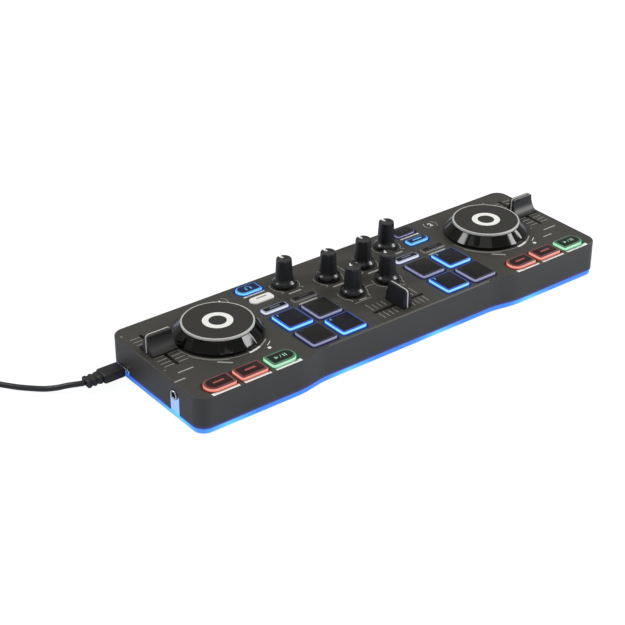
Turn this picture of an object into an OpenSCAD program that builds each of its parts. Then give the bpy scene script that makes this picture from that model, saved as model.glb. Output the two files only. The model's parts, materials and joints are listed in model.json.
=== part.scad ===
// Two-deck DJ controller with a mixer section between the decks.
// Origin: centre of the footprint, on the ground. +X right, -Y towards the player, +Z up.
// Lengths are in millimetres. Both decks are alike; most of the right one mirrors the left one.

/* [Case] */
// Width of the case, left to right
case_w = 300; // [296:1:330]
// Depth of the case, front to back
case_d = 90; // [90:1:110]
// Height of the deck surface above the ground
deck_z = 23.5; // [23.5:0.5:30]
// Thickness of the deck plate
plate_t = 2.2; // [1.6:0.1:2.4]
// Thickness of the case's side walls
wall_t = 1.8; // [1.2:0.1:2]
// Radius of the case's corners, seen from above
corner_r = 7.5; // [6:0.5:9]
// Radius of the rounded edge round the deck
edge_r = 1; // [0.4:0.1:1.5]
// How far the front wall steps back between the decks
recess_d = 3; // [0:0.5:3]
// Half width of the recess where it is deepest
recess_in = 61; // [50:1:62]
// Half width of the recess where it meets the front of the decks
recess_out = 84; // [74:1:86]

/* [Base] */
// Height of the feet below the base
foot_h = 1; // [0.8:0.1:2]
// Radius of a foot
foot_r = 7; // [4:0.5:8]
// Height of the light band that shows under the case
band_h = 2.8; // [2:0.2:3]
// How far the light band stands in from the case's side
band_inset = 0.6; // [0.4:0.1:1]
// Thickness of the base plate's floor
base_t = 2; // [1.6:0.1:2]
// Radius of a case screw's shank
screw_r = 1.3; // [1:0.1:1.4]
// Radius of a case screw's head
screw_head_r = 2.5; // [2:0.1:2.6]

/* [Board] */
// Thickness of the circuit board
board_t = 1.6; // [1:0.1:1.6]
// Clear height between the circuit board and the deck plate
board_gap = 8.7; // [8.7:0.1:9]
// Width of a key switch
switch_w = 6; // [5:0.5:6]
// Height of a key switch's body
switch_h = 3.4; // [2.5:0.1:3.6]

/* [Jog wheels] */
// Distance of a jog wheel's axis from the case's front
jog_front = 51.6; // [50:0.2:54]
// Gap between a jog wheel and the tempo fader's cap
jog_tempo_gap = 1.4; // [1.2:0.1:3]
// Gap between a jog wheel and the pads, left to right
jog_pad_gap = 6.8; // [6.6:0.1:9]
// How far a jog wheel's flank leans in, from its foot to the disc on top
jog_lean = 5.3; // [4.8:0.1:8]
// Thickness of that disc
jog_disc_t = 1.6; // [1:0.1:2]
// Height of the jog wheel's top above the deck
jog_h = 8.7; // [7:0.1:12]
// Radius of a jog wheel's spindle
spindle_r = 3; // [2:0.1:4]
// Number of finger scoops round a jog wheel
scoops = 10; // [6:1:12]
// Depth of a finger scoop
scoop_d = 0.9; // [0.3:0.1:1.2]

/* [Knobs] */
// Radius of a knob's skirt
skirt_r = 8; // [6:0.1:8.2]
// Radius of a knob's barrel at the skirt
barrel_r = 5.3; // [4.4:0.1:5.6]
// Radius of a knob's barrel at its top
knob_top_r = 4.6; // [4.2:0.1:5]
// Height of a knob's top above the deck
knob_h = 17.8; // [14:0.1:20]
// Radius of a potentiometer's shaft
shaft_r = 3; // [2:0.1:3.2]

/* [Faders] */
// Distance of a tempo fader's slot from the case's end
tempo_end = 12.1; // [12:0.1:12.4]
// Distance of the middle of a tempo fader's slot from the case's back
tempo_back = 32.5; // [31:0.5:35]
// Length of a tempo fader's slot
tempo_slot = 39.4; // [36:0.2:40]
// Distance of the crossfader's slot from the case's front
cross_front = 15.6; // [15:0.1:17]
// Length of the crossfader's slot
cross_slot = 37.8; // [36:0.2:40]
// Width of a fader's slot
slot_w = 1.8; // [1.6:0.1:2.4]
// Travel of a fader to either side of its middle
fader_travel = 15; // [10:1:15]
// Length of a fader cap along its ridge
cap_l = 16; // [12:0.5:16]
// Width of a fader cap at its foot
cap_w = 14; // [10:0.5:14]
// Width of a fader cap's ridge
ridge_w = 3.4; // [2.5:0.1:4]
// Height of a fader cap's top above the deck
cap_h = 12; // [9:0.5:14]

/* [Buttons] */
// Distance between neighbouring pads, left to right
pad_pitch_x = 21.2; // [20.5:0.1:21.4]
// Width of a pad
pad_w = 17.2; // [14:0.1:17.4]
// Height of a pad above the deck
pad_h = 2.2; // [1.4:0.1:3]
// Distance of the middle of a deck's four pads from the case's middle
pads_x = 49.9; // [49.5:0.1:50.2]
// Distance of the front pads from the case's front
pads_front = 6.45; // [6.2:0.05:7]
// Gap between the front pads and the ones behind them
pad_gap_y = 3.7; // [3.4:0.1:5]
// Depth of a mode button
mode_d = 5.8; // [5.4:0.1:7]
// Gap between the pads and the mode buttons
pad_mode_gap = 4.95; // [3.2:0.05:6]
// Depth of a shift button
shift_d = 6.5; // [6:0.1:8]
// Gap between the mode and shift buttons
mode_shift_gap = 7.6; // [5:0.1:8]
// Depth of a listen button
listen_d = 9.3; // [8:0.1:10]
// Gap between the shift and listen buttons
shift_listen_gap = 5.6; // [4:0.1:6]
// Distance of the listen buttons from the case's back
listen_back = 3.5; // [3.2:0.1:5]
// Height of the mode, shift and listen buttons above the deck
rear_key_h = 1.4; // [1.2:0.1:2]
// Width of the listen and shift buttons
side_key_w = 15.5; // [14:0.1:16]
// Depth of a transport button
play_d = 11.2; // [9:0.1:11.4]
// Height of a transport button above the deck
play_h = 2; // [1.2:0.1:2.6]
// Gap between neighbouring transport buttons
play_gap = 3.3; // [3:0.1:5]
// Distance of the row of transport buttons from the case's end
play_end = 9.25; // [9:0.05:12]
// Gap between the pads and the row of transport buttons, left to right
play_pad_gap = 12.55; // [12:0.05:16]
// Distance of the transport buttons' middle from the case's front
play_front = 8.2; // [8.2:0.1:8.6]
// Radius of a button's corners
key_corner = 1.5; // [1.2:0.1:1.8]
// Travel of every button
key_travel = 0.8; // [0.4:0.1:1]
// Clearance between a button and its opening
key_gap = 0.25; // [0.2:0.05:0.3]

/* [Sockets] */
// Radius of the headphone jack's bore
jack_r = 1.8; // [1.75:0.05:1.9]
// Height of the headphone jack's axis above the circuit board
jack_up = 2.8; // [2.8:0.1:3.2]
// Distance of the headphone jack's axis from the tempo fader's slider body
jack_off = 10.5; // [8:0.5:12]
// Distance of the USB socket from the case's back
usb_back = 13; // [12.5:0.5:15]
// Width of the USB socket's shell
usb_w = 9; // [8.6:0.1:9.4]
// Height of the USB socket's shell
usb_h = 4.4; // [4.2:0.1:4.6]

/* [Cable] */
// Radius of the cable
cable_r = 1.65; // [1.4:0.05:1.65]
// Turns of the stowed coil, side by side
coil_cols = 4; // [3:1:4]
// Turns of the stowed coil, one above the other
coil_rows = 2; // [2:1:3]

/* [Hidden] */
$fn = 48;
fit_gap = 0.05;             // radial clearance of shafts, spindles and press fits
run_gap = 0.4;              // clearance between moving parts and the deck
seat_gap = 0.3;             // clearance at rest between a part and its stop
usb_lift = 1;                           // of the USB socket above the base plate's floor
half_w = case_w / 2;
half_d = case_d / 2;
front = -half_d;
plate_z = deck_z - plate_t;             // underside of the deck plate
board_top = plate_z - board_gap;
board_bottom = board_top - board_t;
base_z = foot_h;                        // underside of the base
case_z = base_z + band_h;               // lower edge of the case
floor_z = base_z + base_t;              // top of the base plate's floor
tempo_x = half_w - tempo_end;
tempo_y = half_d - tempo_back;
cross_y = front + cross_front;
pads_out = pads_x + pad_pitch_x / 2 + pad_w / 2;    // outer edge of a deck's pads
listen_y = half_d - listen_back - listen_d / 2;
shift_y = listen_y - listen_d / 2 - shift_listen_gap - shift_d / 2;
mode_y = shift_y - shift_d / 2 - mode_shift_gap - mode_d / 2;
pads_back = mode_y - mode_d / 2 - pad_mode_gap;     // back edge of the rear pads
pad_d = (pads_back - front - pads_front - pad_gap_y) / 2;
pad_y = [front + pads_front + pad_d / 2, pads_back - pad_d / 2];
jog_out = tempo_x - cap_l / 2 - jog_tempo_gap;      // reach of a jog wheel, outwards
jog_in = pads_out + jog_pad_gap;                    // and inwards
jog_x = (jog_out + jog_in) / 2;
jog_y = front + jog_front;
jog_r = (jog_out - jog_in) / 2;
jog_disc_r = jog_r - jog_lean;
play_in = pads_out + play_pad_gap;                  // inner end of the transport buttons
play_w = (half_w - play_end - play_in - 2 * play_gap) / 3;
play_pitch = play_w + play_gap;
play_x = (half_w - play_end + play_in) / 2;
play_y = front + play_front;
jack_z = board_top + jack_up;
jack_nose_r = jack_r + 1.2;
usb_y = half_d - usb_back;
usb_z = floor_z + usb_lift + usb_h / 2;
bush_r = spindle_r + 3;                 // bearing bush of a jog wheel
bush_flange_r = bush_r + 3;
key_flange = 1;                         // a button's retaining flange, each side
key_flange_t = 1.4;
button_plunger = 0.9;                   // a key switch's plunger above its body
post_r = 2.8;                           // screw posts
lever_w = 5;                            // fader lever, along its travel
lever_t = 1.2;
pot_w = 9.6;                            // body of a rotary potentiometer
pot_h = 6.8;
slider_l = fader_travel * 2 + 15;       // body of a slide potentiometer
jack_y = tempo_y - slider_l / 2 - jack_off;
slider_w = 9;
slider_h = 8.2;
board_inset = 5.2;
side_key_x = 60;                        // listen and shift buttons, from the middle
band_t = 3.8;                           // wall of the light band
upstand_in = wall_t + 0.2;              // the light guide's upstand inside the case
upstand_t = 1.4;
tab_t = wall_t - 0.6;                   // the light guide's tabs in the case's left wall
jack_tab_w = 8.6;
usb_tab_w = 12;
usb_tab_top = usb_z + 0.4;
foot_seat = 0.6;                        // how deep a foot sits in the base
screw_head_t = 1.6;
screw_sunk = 0.6;                       // how deep a screw's head is sunk in the base
screw_gap = 0.2;
end_post_in = 22;                       // posts near the case's ends
jog_post_x = pads_out + 6.1;            // posts between the pads and a jog wheel
back_post = 8.5;                        // posts at the case's back

tone_x = 39.2;                          // knobs: tone, then master and phones, then level
tone_y = half_d - 16.2;
master_x = 13.4;
master_y = half_d - 25.4;
level_x = 13.1;
level_y = cross_y + 0.53 * (master_y - cross_y);

// Knobs: name, x, y
KNOBS = [
    ["tone_knob_left", -tone_x, tone_y],
    ["tone_knob_right", tone_x, tone_y],
    ["master_knob", -master_x, master_y],
    ["phones_knob", master_x, master_y],
    ["level_knob_left", -level_x, level_y],
    ["level_knob_right", level_x, level_y]
];

// Buttons of one deck: name, x, y, width, depth, height above the deck,
// rounded end (-1 left, 1 right, 0 none). side is -1 on the left deck and 1 on the right one.
function deck_keys(side, deck) = [
    [str(deck, "_pad_1"), side * pads_x - pad_pitch_x / 2, pad_y[1], pad_w, pad_d, pad_h, 0],
    [str(deck, "_pad_2"), side * pads_x + pad_pitch_x / 2, pad_y[1], pad_w, pad_d, pad_h, 0],
    [str(deck, "_pad_3"), side * pads_x - pad_pitch_x / 2, pad_y[0], pad_w, pad_d, pad_h, 0],
    [str(deck, "_pad_4"), side * pads_x + pad_pitch_x / 2, pad_y[0], pad_w, pad_d, pad_h, 0],
    [str(deck, "_mode_1"), side * pads_x - pad_pitch_x / 2, mode_y, pad_w, mode_d, rear_key_h, 0],
    [str(deck, "_mode_2"), side * pads_x + pad_pitch_x / 2, mode_y, pad_w, mode_d, rear_key_h, 0],
    [str(deck, "_listen"), side * side_key_x, listen_y, side_key_w, listen_d, rear_key_h, side],
    [str(deck, "_shift"), side * side_key_x, shift_y, side_key_w, shift_d, rear_key_h, side],
    [str(deck, "_sync"), side * play_x - play_pitch, play_y, play_w, play_d, play_h, -1],
    [str(deck, "_cue"), side * play_x, play_y, play_w, play_d, play_h, 0],
    [str(deck, "_play"), side * play_x + play_pitch, play_y, play_w, play_d, play_h, 1]
];
KEYS = concat(deck_keys(-1, "left"), deck_keys(1, "right"));

// Case screws: x, y
SCREWS = [
    for (side = [-1, 1])
        each [
            [side * (half_w - end_post_in), half_d - back_post],
            [side * (half_w - end_post_in - 3), front + 23],
            [side * jog_post_x, half_d - 15],
            [side * jog_post_x, front + 20]
        ],
    [0, half_d - back_post],
    [0, cross_y + 17.4]
];
foot_end = 42;                          // feet, from the case's end
foot_side = 12;                         // feet, from the case's front and back
FEET = [for (sx = [-1, 1]) for (sy = [-1, 1]) [sx * (half_w - foot_end), sy * (half_d - foot_side)]];

// The cable's route from the plug to the coil, and from the coil to the far plug
CABLE_OUT = [
    [-175.3, 32, 6.2], [-178, 33, 6.2], [-180.6, 34.8, 5.8], [-182.9, 36.9, 5.1], [-185, 38.9, 4.2],
    [-187, 40.9, 3.3], [-189, 43, 2.6], [-191.1, 45.1, 2], [-193.4, 47.3, 1.7], [-198, 51.6, 1.7],
    [-202.8, 56.6, 1.7], [-207, 62, 1.7], [-210.5, 67, 1.7], [-213, 72, 1.7], [-214.5, 77, 1.7]
];
CABLE_FAR = [[-260, 86, 4.9], [-260, 83, 4.9], [-260.4, 78, 4.2], [-261.2, 72, 3.8], [-262, 66, 4]];
coil_centre = [-236, 86, 0];
coil_mid_r = 19;
far_plug = [-262, 66, 4];

// ---------------------------------------------------------------- outlines

// Eases from 0 to 1 with a level start and end
function ease(t) = t <= 0 ? 0 : t >= 1 ? 1 : (1 - cos(180 * t)) / 2;

// Front edge of the case at x, for an outline that is drawn in by inset
function front_edge(x, inset) =
    front + inset + recess_d * ease((recess_out - abs(x)) / (recess_out - recess_in));

// Outline of the case, drawn in by inset, anticlockwise from the front's left end
function case_outline(inset) =
    let (r = max(corner_r - inset, 0.5))
    let (cx = half_w - inset - r)
    let (cy = half_d - inset - r)
    let (step = (recess_out - recess_in) / 8)
    concat(
        [for (a = [180:11.25:270]) [-cx + r * cos(a), -cy + r * sin(a)]],
        [for (i = [0:8]) let (x = -recess_out + i * step) [x, front_edge(x, inset)]],
        [for (i = [0:8]) let (x = recess_in + i * step) [x, front_edge(x, inset)]],
        [for (a = [270:11.25:360]) [cx + r * cos(a), -cy + r * sin(a)]],
        [for (a = [0:11.25:90]) [cx + r * cos(a), cy + r * sin(a)]],
        [for (a = [90:11.25:180]) [-cx + r * cos(a), cy + r * sin(a)]]
    );

// A straight slice of the case's outline
module case_slice(inset, z0, z1) {
    translate([0, 0, z0])
        linear_extrude(z1 - z0)
            polygon(case_outline(inset));
}

// A rectangle with rounded corners
module rounded(w, d, r) {
    square([w - 2 * r, d], center = true);
    square([w, d - 2 * r], center = true);
    for (sx = [-1, 1])
        for (sy = [-1, 1])
            translate([sx * (w / 2 - r), sy * (d / 2 - r)])
                circle(r);
}

// Outline of a button; end rounds that whole end off (-1 left, 1 right, 0 neither)
module key_shape(w, d, r, end) {
    bow_r = d * 0.55;
    bow_start = d * 0.42;               // how far before the end the bow begins
    if (end == 0)
        rounded(w, d, r);
    else
        intersection() {
            rounded(w, d, r);
            union() {
                translate([-end * bow_start, 0])
                    square([w, d], center = true);
                translate([end * (w / 2 - bow_r), 0])
                    circle(bow_r);
            }
        }
}

// A slot with round ends, along X
module slot_shape(l, w) {
    square([l - w, w], center = true);
    for (s = [-1, 1])
        translate([s * (l - w) / 2, 0])
            circle(w / 2);
}

module at(x, y, z) {
    translate([x, y, z])
        children();
}

// Places a child at both decks, mirrored
module both_decks() {
    children();
    mirror([1, 0, 0])
        children();
}

// ---------------------------------------------------------------- case and base

// Upright section of the case: w wide, with both top corners rounded
module case_section(w) {
    h = deck_z - case_z;
    translate([-w / 2, 0])
        square([w, h - edge_r]);
    translate([edge_r - w / 2, 0])
        square([w - 2 * edge_r, h]);
    for (s = [-1, 1])
        translate([s * (w / 2 - edge_r), h - edge_r])
            circle(edge_r);
}

// The case as a solid block: two crossing sections and a turned post at each corner
module case_block() {
    cx = half_w - corner_r;
    cy = half_d - corner_r;
    at(-cx, 0, case_z)
        rotate([90, 0, 90])
            linear_extrude(2 * cx)
                case_section(case_d);
    at(0, cy, case_z)
        rotate([90, 0, 0])
            linear_extrude(2 * cy)
                case_section(case_w);
    for (sx = [-1, 1])
        for (sy = [-1, 1])
            at(sx * cx, sy * cy, case_z)
                rotate_extrude()
                    intersection() {
                        case_section(2 * corner_r);
                        square([corner_r, deck_z]);
                    }
}

// What the recess takes away from the front wall, with its upper edge chamfered
module front_recess() {
    step = (recess_out - recess_in) / 8;
    xs = concat([for (i = [0:8]) -recess_out + i * step], [for (i = [0:8]) recess_in + i * step]);
    at(0, 0, case_z - 1)
        linear_extrude(deck_z - case_z + 2)
            polygon(concat([for (x = xs) [x, front_edge(x, 0)]],
                           [[recess_out, front - 1], [-recess_out, front - 1]]));
    at(0, front + recess_d, deck_z)
        rotate([45, 0, 0])
            cube([2 * recess_in, edge_r, edge_r], center = true);
}

module screw_posts(z0, z1, r) {
    for (s = SCREWS)
        at(s[0], s[1], z0)
            cylinder(h = z1 - z0, r = r);
}

module deck_openings() {
    for (k = KEYS)
        at(k[1], k[2], plate_z - 1)
            linear_extrude(plate_t + 2)
                key_shape(k[3] + 2 * key_gap, k[4] + 2 * key_gap, key_corner + key_gap, k[6]);
    for (k = KNOBS)
        at(k[1], k[2], plate_z - 1)
            cylinder(h = plate_t + 2, r = shaft_r + 0.6);
    both_decks() {
        at(jog_x, jog_y, plate_z - 1)
            cylinder(h = plate_t + 2, r = bush_r + fit_gap);
        at(tempo_x, tempo_y, plate_z - 1)
            linear_extrude(plate_t + 2)
                rotate(90)
                    slot_shape(tempo_slot, slot_w);
    }
    at(0, cross_y, plate_z - 1)
        linear_extrude(plate_t + 2)
            slot_shape(cross_slot, slot_w);
}

module top_case() {
    color([0.24, 0.24, 0.23])
        difference() {
            union() {
                difference() {
                    case_block();
                    front_recess();
                    case_slice(wall_t, case_z - 1, plate_z);
                }
                screw_posts(board_top, plate_z + 0.5, post_r);
            }
            deck_openings();
            screw_posts(board_top - 1, plate_z - 1, screw_r + fit_gap);
            // notches for the headphone jack and the USB plug
            at(-half_w, jack_y, case_z)
                cube([4 * wall_t, jack_tab_w + 2 * seat_gap, 2 * (jack_z - case_z)], center = true);
            at(-half_w - 1, jack_y, jack_z)
                rotate([0, 90, 0])
                    cylinder(h = 3 * wall_t, r = jack_nose_r + seat_gap);
            at(-half_w, usb_y, case_z)
                cube([4 * wall_t, usb_tab_w + 2 * seat_gap, 2 * (usb_tab_top + seat_gap - case_z)],
                     center = true);
            usb_opening();
        }
}

// The guide rises in two tabs that fill the notches in the case's left wall
module light_guide() {
    tab_x = (wall_t - tab_t) / 2 - half_w;
    tuck = 0.5;                         // how far raised parts reach down into the band
    color([0.35, 0.75, 1, 0.8])
        difference() {
            union() {
                difference() {
                    case_slice(band_inset, base_z, case_z);
                    case_slice(band_inset + band_t, base_z - 1, case_z + 1);
                }
                difference() {
                    case_slice(upstand_in, case_z - tuck, case_z + 2.4);
                    case_slice(upstand_in + upstand_t, case_z - 1, case_z + 3);
                }
                at(tab_x, jack_y - jack_tab_w / 2, case_z - tuck)
                    cube([tab_t, jack_tab_w, jack_z - case_z + tuck]);
                at(tab_x, usb_y - usb_tab_w / 2, case_z - tuck)
                    cube([tab_t, usb_tab_w, usb_tab_top - case_z + tuck]);
            }
            at(-half_w - 1, jack_y, jack_z)
                rotate([0, 90, 0])
                    cylinder(h = 8, r = jack_nose_r + seat_gap);
            usb_opening();
        }
}

// Clear way for the USB socket's shell through the case, the guide and the base plate's rim
module usb_opening() {
    at(-half_w + 6, usb_y, usb_z)
        cube([16, usb_w + 2 * seat_gap, usb_h + 2 * seat_gap], center = true);
}

// The bottom moulding: a shallow tray with a boss under each screw
module base_cover() {
    tray_rim = 2.4;
    rim_h = 1.2;                        // how far the tray's rim rises inside the case
    boss_r = post_r + 0.8;
    ledge_in = upstand_in + upstand_t + seat_gap;
    color([0.13, 0.13, 0.14])
        difference() {
            union() {
                case_slice(band_inset + band_t + seat_gap, base_z, case_z);
                case_slice(ledge_in, case_z, case_z + rim_h);
                screw_posts(floor_z - 0.5, board_bottom, boss_r);
            }
            difference() {
                case_slice(ledge_in + tray_rim, floor_z, case_z + 2);
                screw_posts(floor_z - 1, case_z + 3, boss_r);
            }
            usb_opening();
            screw_posts(base_z - 1, board_bottom + 1, screw_r + screw_gap);
            screw_posts(base_z - 1, base_z + screw_sunk + screw_head_t, screw_head_r + screw_gap);
            for (f = FEET)
                at(f[0], f[1], base_z - 1)
                    cylinder(h = 1 + foot_seat, r = foot_r + 0.1);
        }
}

module feet() {
    color([0.08, 0.08, 0.08])
        for (f = FEET)
            at(f[0], f[1], 0)
                rotate_extrude()
                    polygon([[0, 0], [foot_r - 0.5, 0], [foot_r, 0.5], [foot_r, foot_h + foot_seat],
                             [0, foot_h + foot_seat]]);
}

module case_screws() {
    head_z = base_z + screw_sunk;
    cross_w = 0.6;                      // cross recess in the head
    color([0.55, 0.55, 0.57])
        for (s = SCREWS)
            at(s[0], s[1], 0)
                difference() {
                    union() {
                        at(0, 0, head_z)
                            cylinder(h = screw_head_t, r = screw_head_r);
                        at(0, 0, head_z + 1)
                            cylinder(h = plate_z - 2 - head_z, r = screw_r);
                    }
                    for (a = [0, 90])
                        at(0, 0, head_z)
                            rotate(a)
                                cube([2 * screw_r, cross_w, screw_head_t], center = true);
                }
}

// ---------------------------------------------------------------- electronics

module main_board() {
    color([0.05, 0.3, 0.16])
        difference() {
            case_slice(board_inset, board_bottom, board_top);
            screw_posts(board_bottom - 1, board_top + 1, screw_r + 0.3);
            both_decks()
                at(jog_x, jog_y, board_bottom - 1)
                    cylinder(h = board_t + 2, r = bush_r + 1);
        }
}

module key_switches() {
    color([0.2, 0.2, 0.2])
        for (k = KEYS)
            at(k[1], k[2], board_top) {
                at(-switch_w / 2, -switch_w / 2, 0)
                    cube([switch_w, switch_w, switch_h]);
                cylinder(h = switch_h + button_plunger, r = 1.7);
            }
}

module knob_potentiometers() {
    color([0.45, 0.45, 0.42])
        for (k = KNOBS)
            at(k[1], k[2], board_top)
                difference() {
                    union() {
                        at(-pot_w / 2, -pot_w / 2 - 0.8, 0)
                            cube([pot_w, pot_w + 1.6, pot_h]);
                        cylinder(h = board_gap - 0.1, r = shaft_r + 1);
                    }
                    at(0, 0, 1)
                        cylinder(h = board_gap, r = shaft_r + fit_gap);
                }
}

module slide_potentiometer() {
    difference() {
        at(-slider_l / 2, -slider_w / 2, 0)
            cube([slider_l, slider_w, slider_h]);
        at(-fader_travel - lever_w / 2 - 1, -lever_t / 2 - seat_gap, 3)
            cube([2 * fader_travel + lever_w + 2, lever_t + 2 * seat_gap, slider_h]);
    }
}

module slide_potentiometers() {
    color([0.5, 0.5, 0.52]) {
        at(0, cross_y, board_top)
            slide_potentiometer();
        both_decks()
            at(tempo_x, tempo_y, board_top)
                rotate(90)
                    slide_potentiometer();
    }
}

module jog_bearings() {
    color([0.85, 0.85, 0.8])
        both_decks()
            at(jog_x, jog_y, 0)
                difference() {
                    union() {
                        at(0, 0, board_bottom)
                            cylinder(h = deck_z - board_bottom, r = bush_r);
                        at(0, 0, plate_z - 1.6)
                            cylinder(h = 1.6, r = bush_flange_r);
                    }
                    at(0, 0, board_bottom - 1)
                        cylinder(h = deck_z, r = spindle_r + fit_gap);
                }
}

module phones_jack() {
    body_l = 12;
    color([0.1, 0.1, 0.1])
        difference() {
            union() {
                at(-half_w + upstand_in + upstand_t + 0.6, jack_y - 3.2, board_top)
                    cube([body_l, 6.4, jack_up + 3]);
                at(-half_w - 0.3, jack_y, jack_z)
                    rotate([0, 90, 0])
                        cylinder(h = 6, r = jack_nose_r);
            }
            at(-half_w - 1, jack_y, jack_z)
                rotate([0, 90, 0])
                    cylinder(h = 14.7, r = jack_r);
        }
}

module usb_socket() {
    shell_t = 0.45;
    depth = 10;
    color([0.75, 0.75, 0.77])
        at(-half_w + 0.8, usb_y, usb_z)
            difference() {
                at(0, -usb_w / 2, -usb_h / 2)
                    cube([depth, usb_w, usb_h]);
                at(-1, -usb_w / 2 + shell_t, -usb_h / 2 + shell_t)
                    cube([depth, usb_w - 2 * shell_t, usb_h - 2 * shell_t]);
            }
}

// ---------------------------------------------------------------- jog wheels

module jog_wheel(side) {
    foot_z = deck_z + run_gap;
    seat_z = deck_z + jog_h - jog_disc_t;
    foot_edge = 1.6;
    rise = seat_z - foot_z - foot_edge;
    run = jog_r - jog_disc_r - 0.3;
    slope = atan2(run, rise);           // lean of the flank from upright
    scoop_ball = 7;
    scoop_turn = -7;                    // the first scoop stands a little off the right
    scoop_out = scoop_ball - scoop_d;
    scoop_r = jog_r - run * 0.55 + scoop_out * cos(slope);
    scoop_z = foot_z + foot_edge + rise * 0.55 + scoop_out * sin(slope);
    color([0.06, 0.06, 0.06])
        at(side * jog_x, jog_y, 0)
            difference() {
                rotate_extrude($fn = 96)
                    polygon([[0, seat_z], [jog_disc_r + 0.3, seat_z],
                             [jog_r, foot_z + foot_edge], [jog_r, foot_z + 0.4],
                             [jog_r - 0.4, foot_z], [jog_r - 3, foot_z],
                             [jog_disc_r - 2, seat_z - 1.8], [bush_r, seat_z - 1.8],
                             [bush_r, foot_z], [0, foot_z]]);
                for (i = [0:scoops - 1])
                    rotate(scoop_turn + i * 360 / scoops)
                        at(scoop_r, 0, scoop_z)
                            sphere(scoop_ball, $fn = 64);
            }
    color([0.06, 0.06, 0.06])
        at(side * jog_x, jog_y, board_bottom + 0.4)
            cylinder(h = foot_z - board_bottom + 0.4, r = spindle_r);
}

module jog_disc(side) {
    top_z = deck_z + jog_h;
    color([0.28, 0.28, 0.27])
        at(side * jog_x, jog_y, top_z - jog_disc_t)
            rotate_extrude($fn = 96)
                polygon([[0, 0], [jog_disc_r - 0.2, 0], [jog_disc_r, 0.2],
                         [jog_disc_r, jog_disc_t - 0.45], [jog_disc_r - 0.45, jog_disc_t],
                         [0, jog_disc_t]]);
}

// ---------------------------------------------------------------- knobs and faders

module knob(x, y) {
    z0 = deck_z + run_gap;
    top_z = deck_z + knob_h;
    skirt_t = 1.5;
    flare = skirt_r - barrel_r - 0.4;
    groove_w = 1.7;
    color([0.12, 0.12, 0.13])
        at(x, y, 0)
            difference() {
                rotate_extrude()
                    difference() {
                        polygon([[0, z0], [skirt_r - 0.2, z0], [skirt_r, z0 + 0.2],
                                 [skirt_r, z0 + skirt_t - 0.5], [skirt_r - 0.5, z0 + skirt_t],
                                 [barrel_r, z0 + skirt_t + flare], [knob_top_r, top_z - 0.5],
                                 [knob_top_r - 0.5, top_z], [0, top_z]]);
                        translate([barrel_r + flare, z0 + skirt_t + flare])
                            circle(flare);
                    }
                // pointer groove, open towards the back
                at(-groove_w / 2, 1.2, top_z - 1.6)
                    cube([groove_w, knob_top_r, 3]);
                shaft_end(fit_gap);
            }
}

// The D-shaped end of a potentiometer's shaft, grown by gap
module shaft_end(gap) {
    shaft_top = deck_z + knob_h - 4;
    flat = shaft_r * 0.5;
    at(0, 0, deck_z)
        intersection() {
            cylinder(h = shaft_top - deck_z + 2 * gap, r = shaft_r + gap);
            at(-2 * shaft_r, -2 * shaft_r, 0)
                cube([4 * shaft_r, 2 * shaft_r + flat + gap, knob_h]);
        }
}

module knob_shaft(x, y) {
    color([0.7, 0.7, 0.72])
        at(x, y, 0) {
            shaft_end(0);
            at(0, 0, board_top + 1 + seat_gap)
                cylinder(h = deck_z - board_top - 1 - seat_gap, r = shaft_r);
        }
}

// A fader cap that travels along X
module fader_cap() {
    z0 = run_gap;
    lip = 1.2;
    hollow_z = cap_h - 1.8;
    hollow_rise = hollow_z - z0 - lip;
    hollow_run = (cap_w - ridge_w) / 2;
    hollow_r = (hollow_run * hollow_run + hollow_rise * hollow_rise) / (2 * hollow_run);
    end_r = 2;
    difference() {
        intersection() {
            rotate([90, 0, 0])
                translate([0, 0, -cap_l / 2])
                    linear_extrude(cap_l)
                        difference() {
                            polygon([[-cap_w / 2, z0], [cap_w / 2, z0], [cap_w / 2, cap_h - 0.7],
                                     [ridge_w / 2, cap_h - 0.7], [ridge_w / 2 - 0.7, cap_h],
                                     [0.7 - ridge_w / 2, cap_h], [-ridge_w / 2, cap_h - 0.7],
                                     [-cap_w / 2, cap_h - 0.7]]);
                            for (s = [-1, 1]) {
                                translate([s * (ridge_w / 2 + hollow_r), hollow_z])
                                    circle(hollow_r, $fn = 96);
                                translate([s * (ridge_w / 2 + hollow_r), hollow_z + hollow_r])
                                    square(2 * hollow_r, center = true);
                            }
                        }
            rotate([90, 0, 90])
                translate([0, 0, -cap_w])
                    linear_extrude(2 * cap_w)
                        union() {
                            translate([-cap_l / 2, z0])
                                square([cap_l, cap_h - z0 - end_r]);
                            translate([-cap_l / 2 + end_r, z0])
                                square([cap_l - 2 * end_r, cap_h - z0]);
                            for (s = [-1, 1])
                                translate([s * (cap_l / 2 - end_r), cap_h - end_r])
                                    circle(end_r);
                        }
        }
        // pocket for the lever
        at(0, 0, cap_h / 2 - 1)
            cube([lever_t + 2 * fit_gap, lever_w + 2 * fit_gap, cap_h - 2], center = true);
    }
}

// The lever stands in the slot with its long side along the travel
module fader_lever() {
    below = plate_t + board_gap - 3 - seat_gap - 0.5;
    at(-lever_t / 2, -lever_w / 2, 0.1)
        cube([lever_t, lever_w, cap_h - 3.2]);
    at(-lever_w / 2, -lever_t / 2, -below)
        cube([lever_w, lever_t, below + 0.3]);
}

module crossfader_cap() {
    color([0.16, 0.16, 0.17])
        at(0, cross_y, deck_z)
            fader_cap();
}

module crossfader_lever() {
    color([0.6, 0.6, 0.62])
        at(0, cross_y, deck_z)
            fader_lever();
}

module tempo_cap(side) {
    color([0.16, 0.16, 0.17])
        at(side * tempo_x, tempo_y, deck_z)
            rotate(90)
                fader_cap();
}

module tempo_lever(side) {
    color([0.6, 0.6, 0.62])
        at(side * tempo_x, tempo_y, deck_z)
            rotate(90)
                fader_lever();
}

// ---------------------------------------------------------------- buttons

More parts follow.
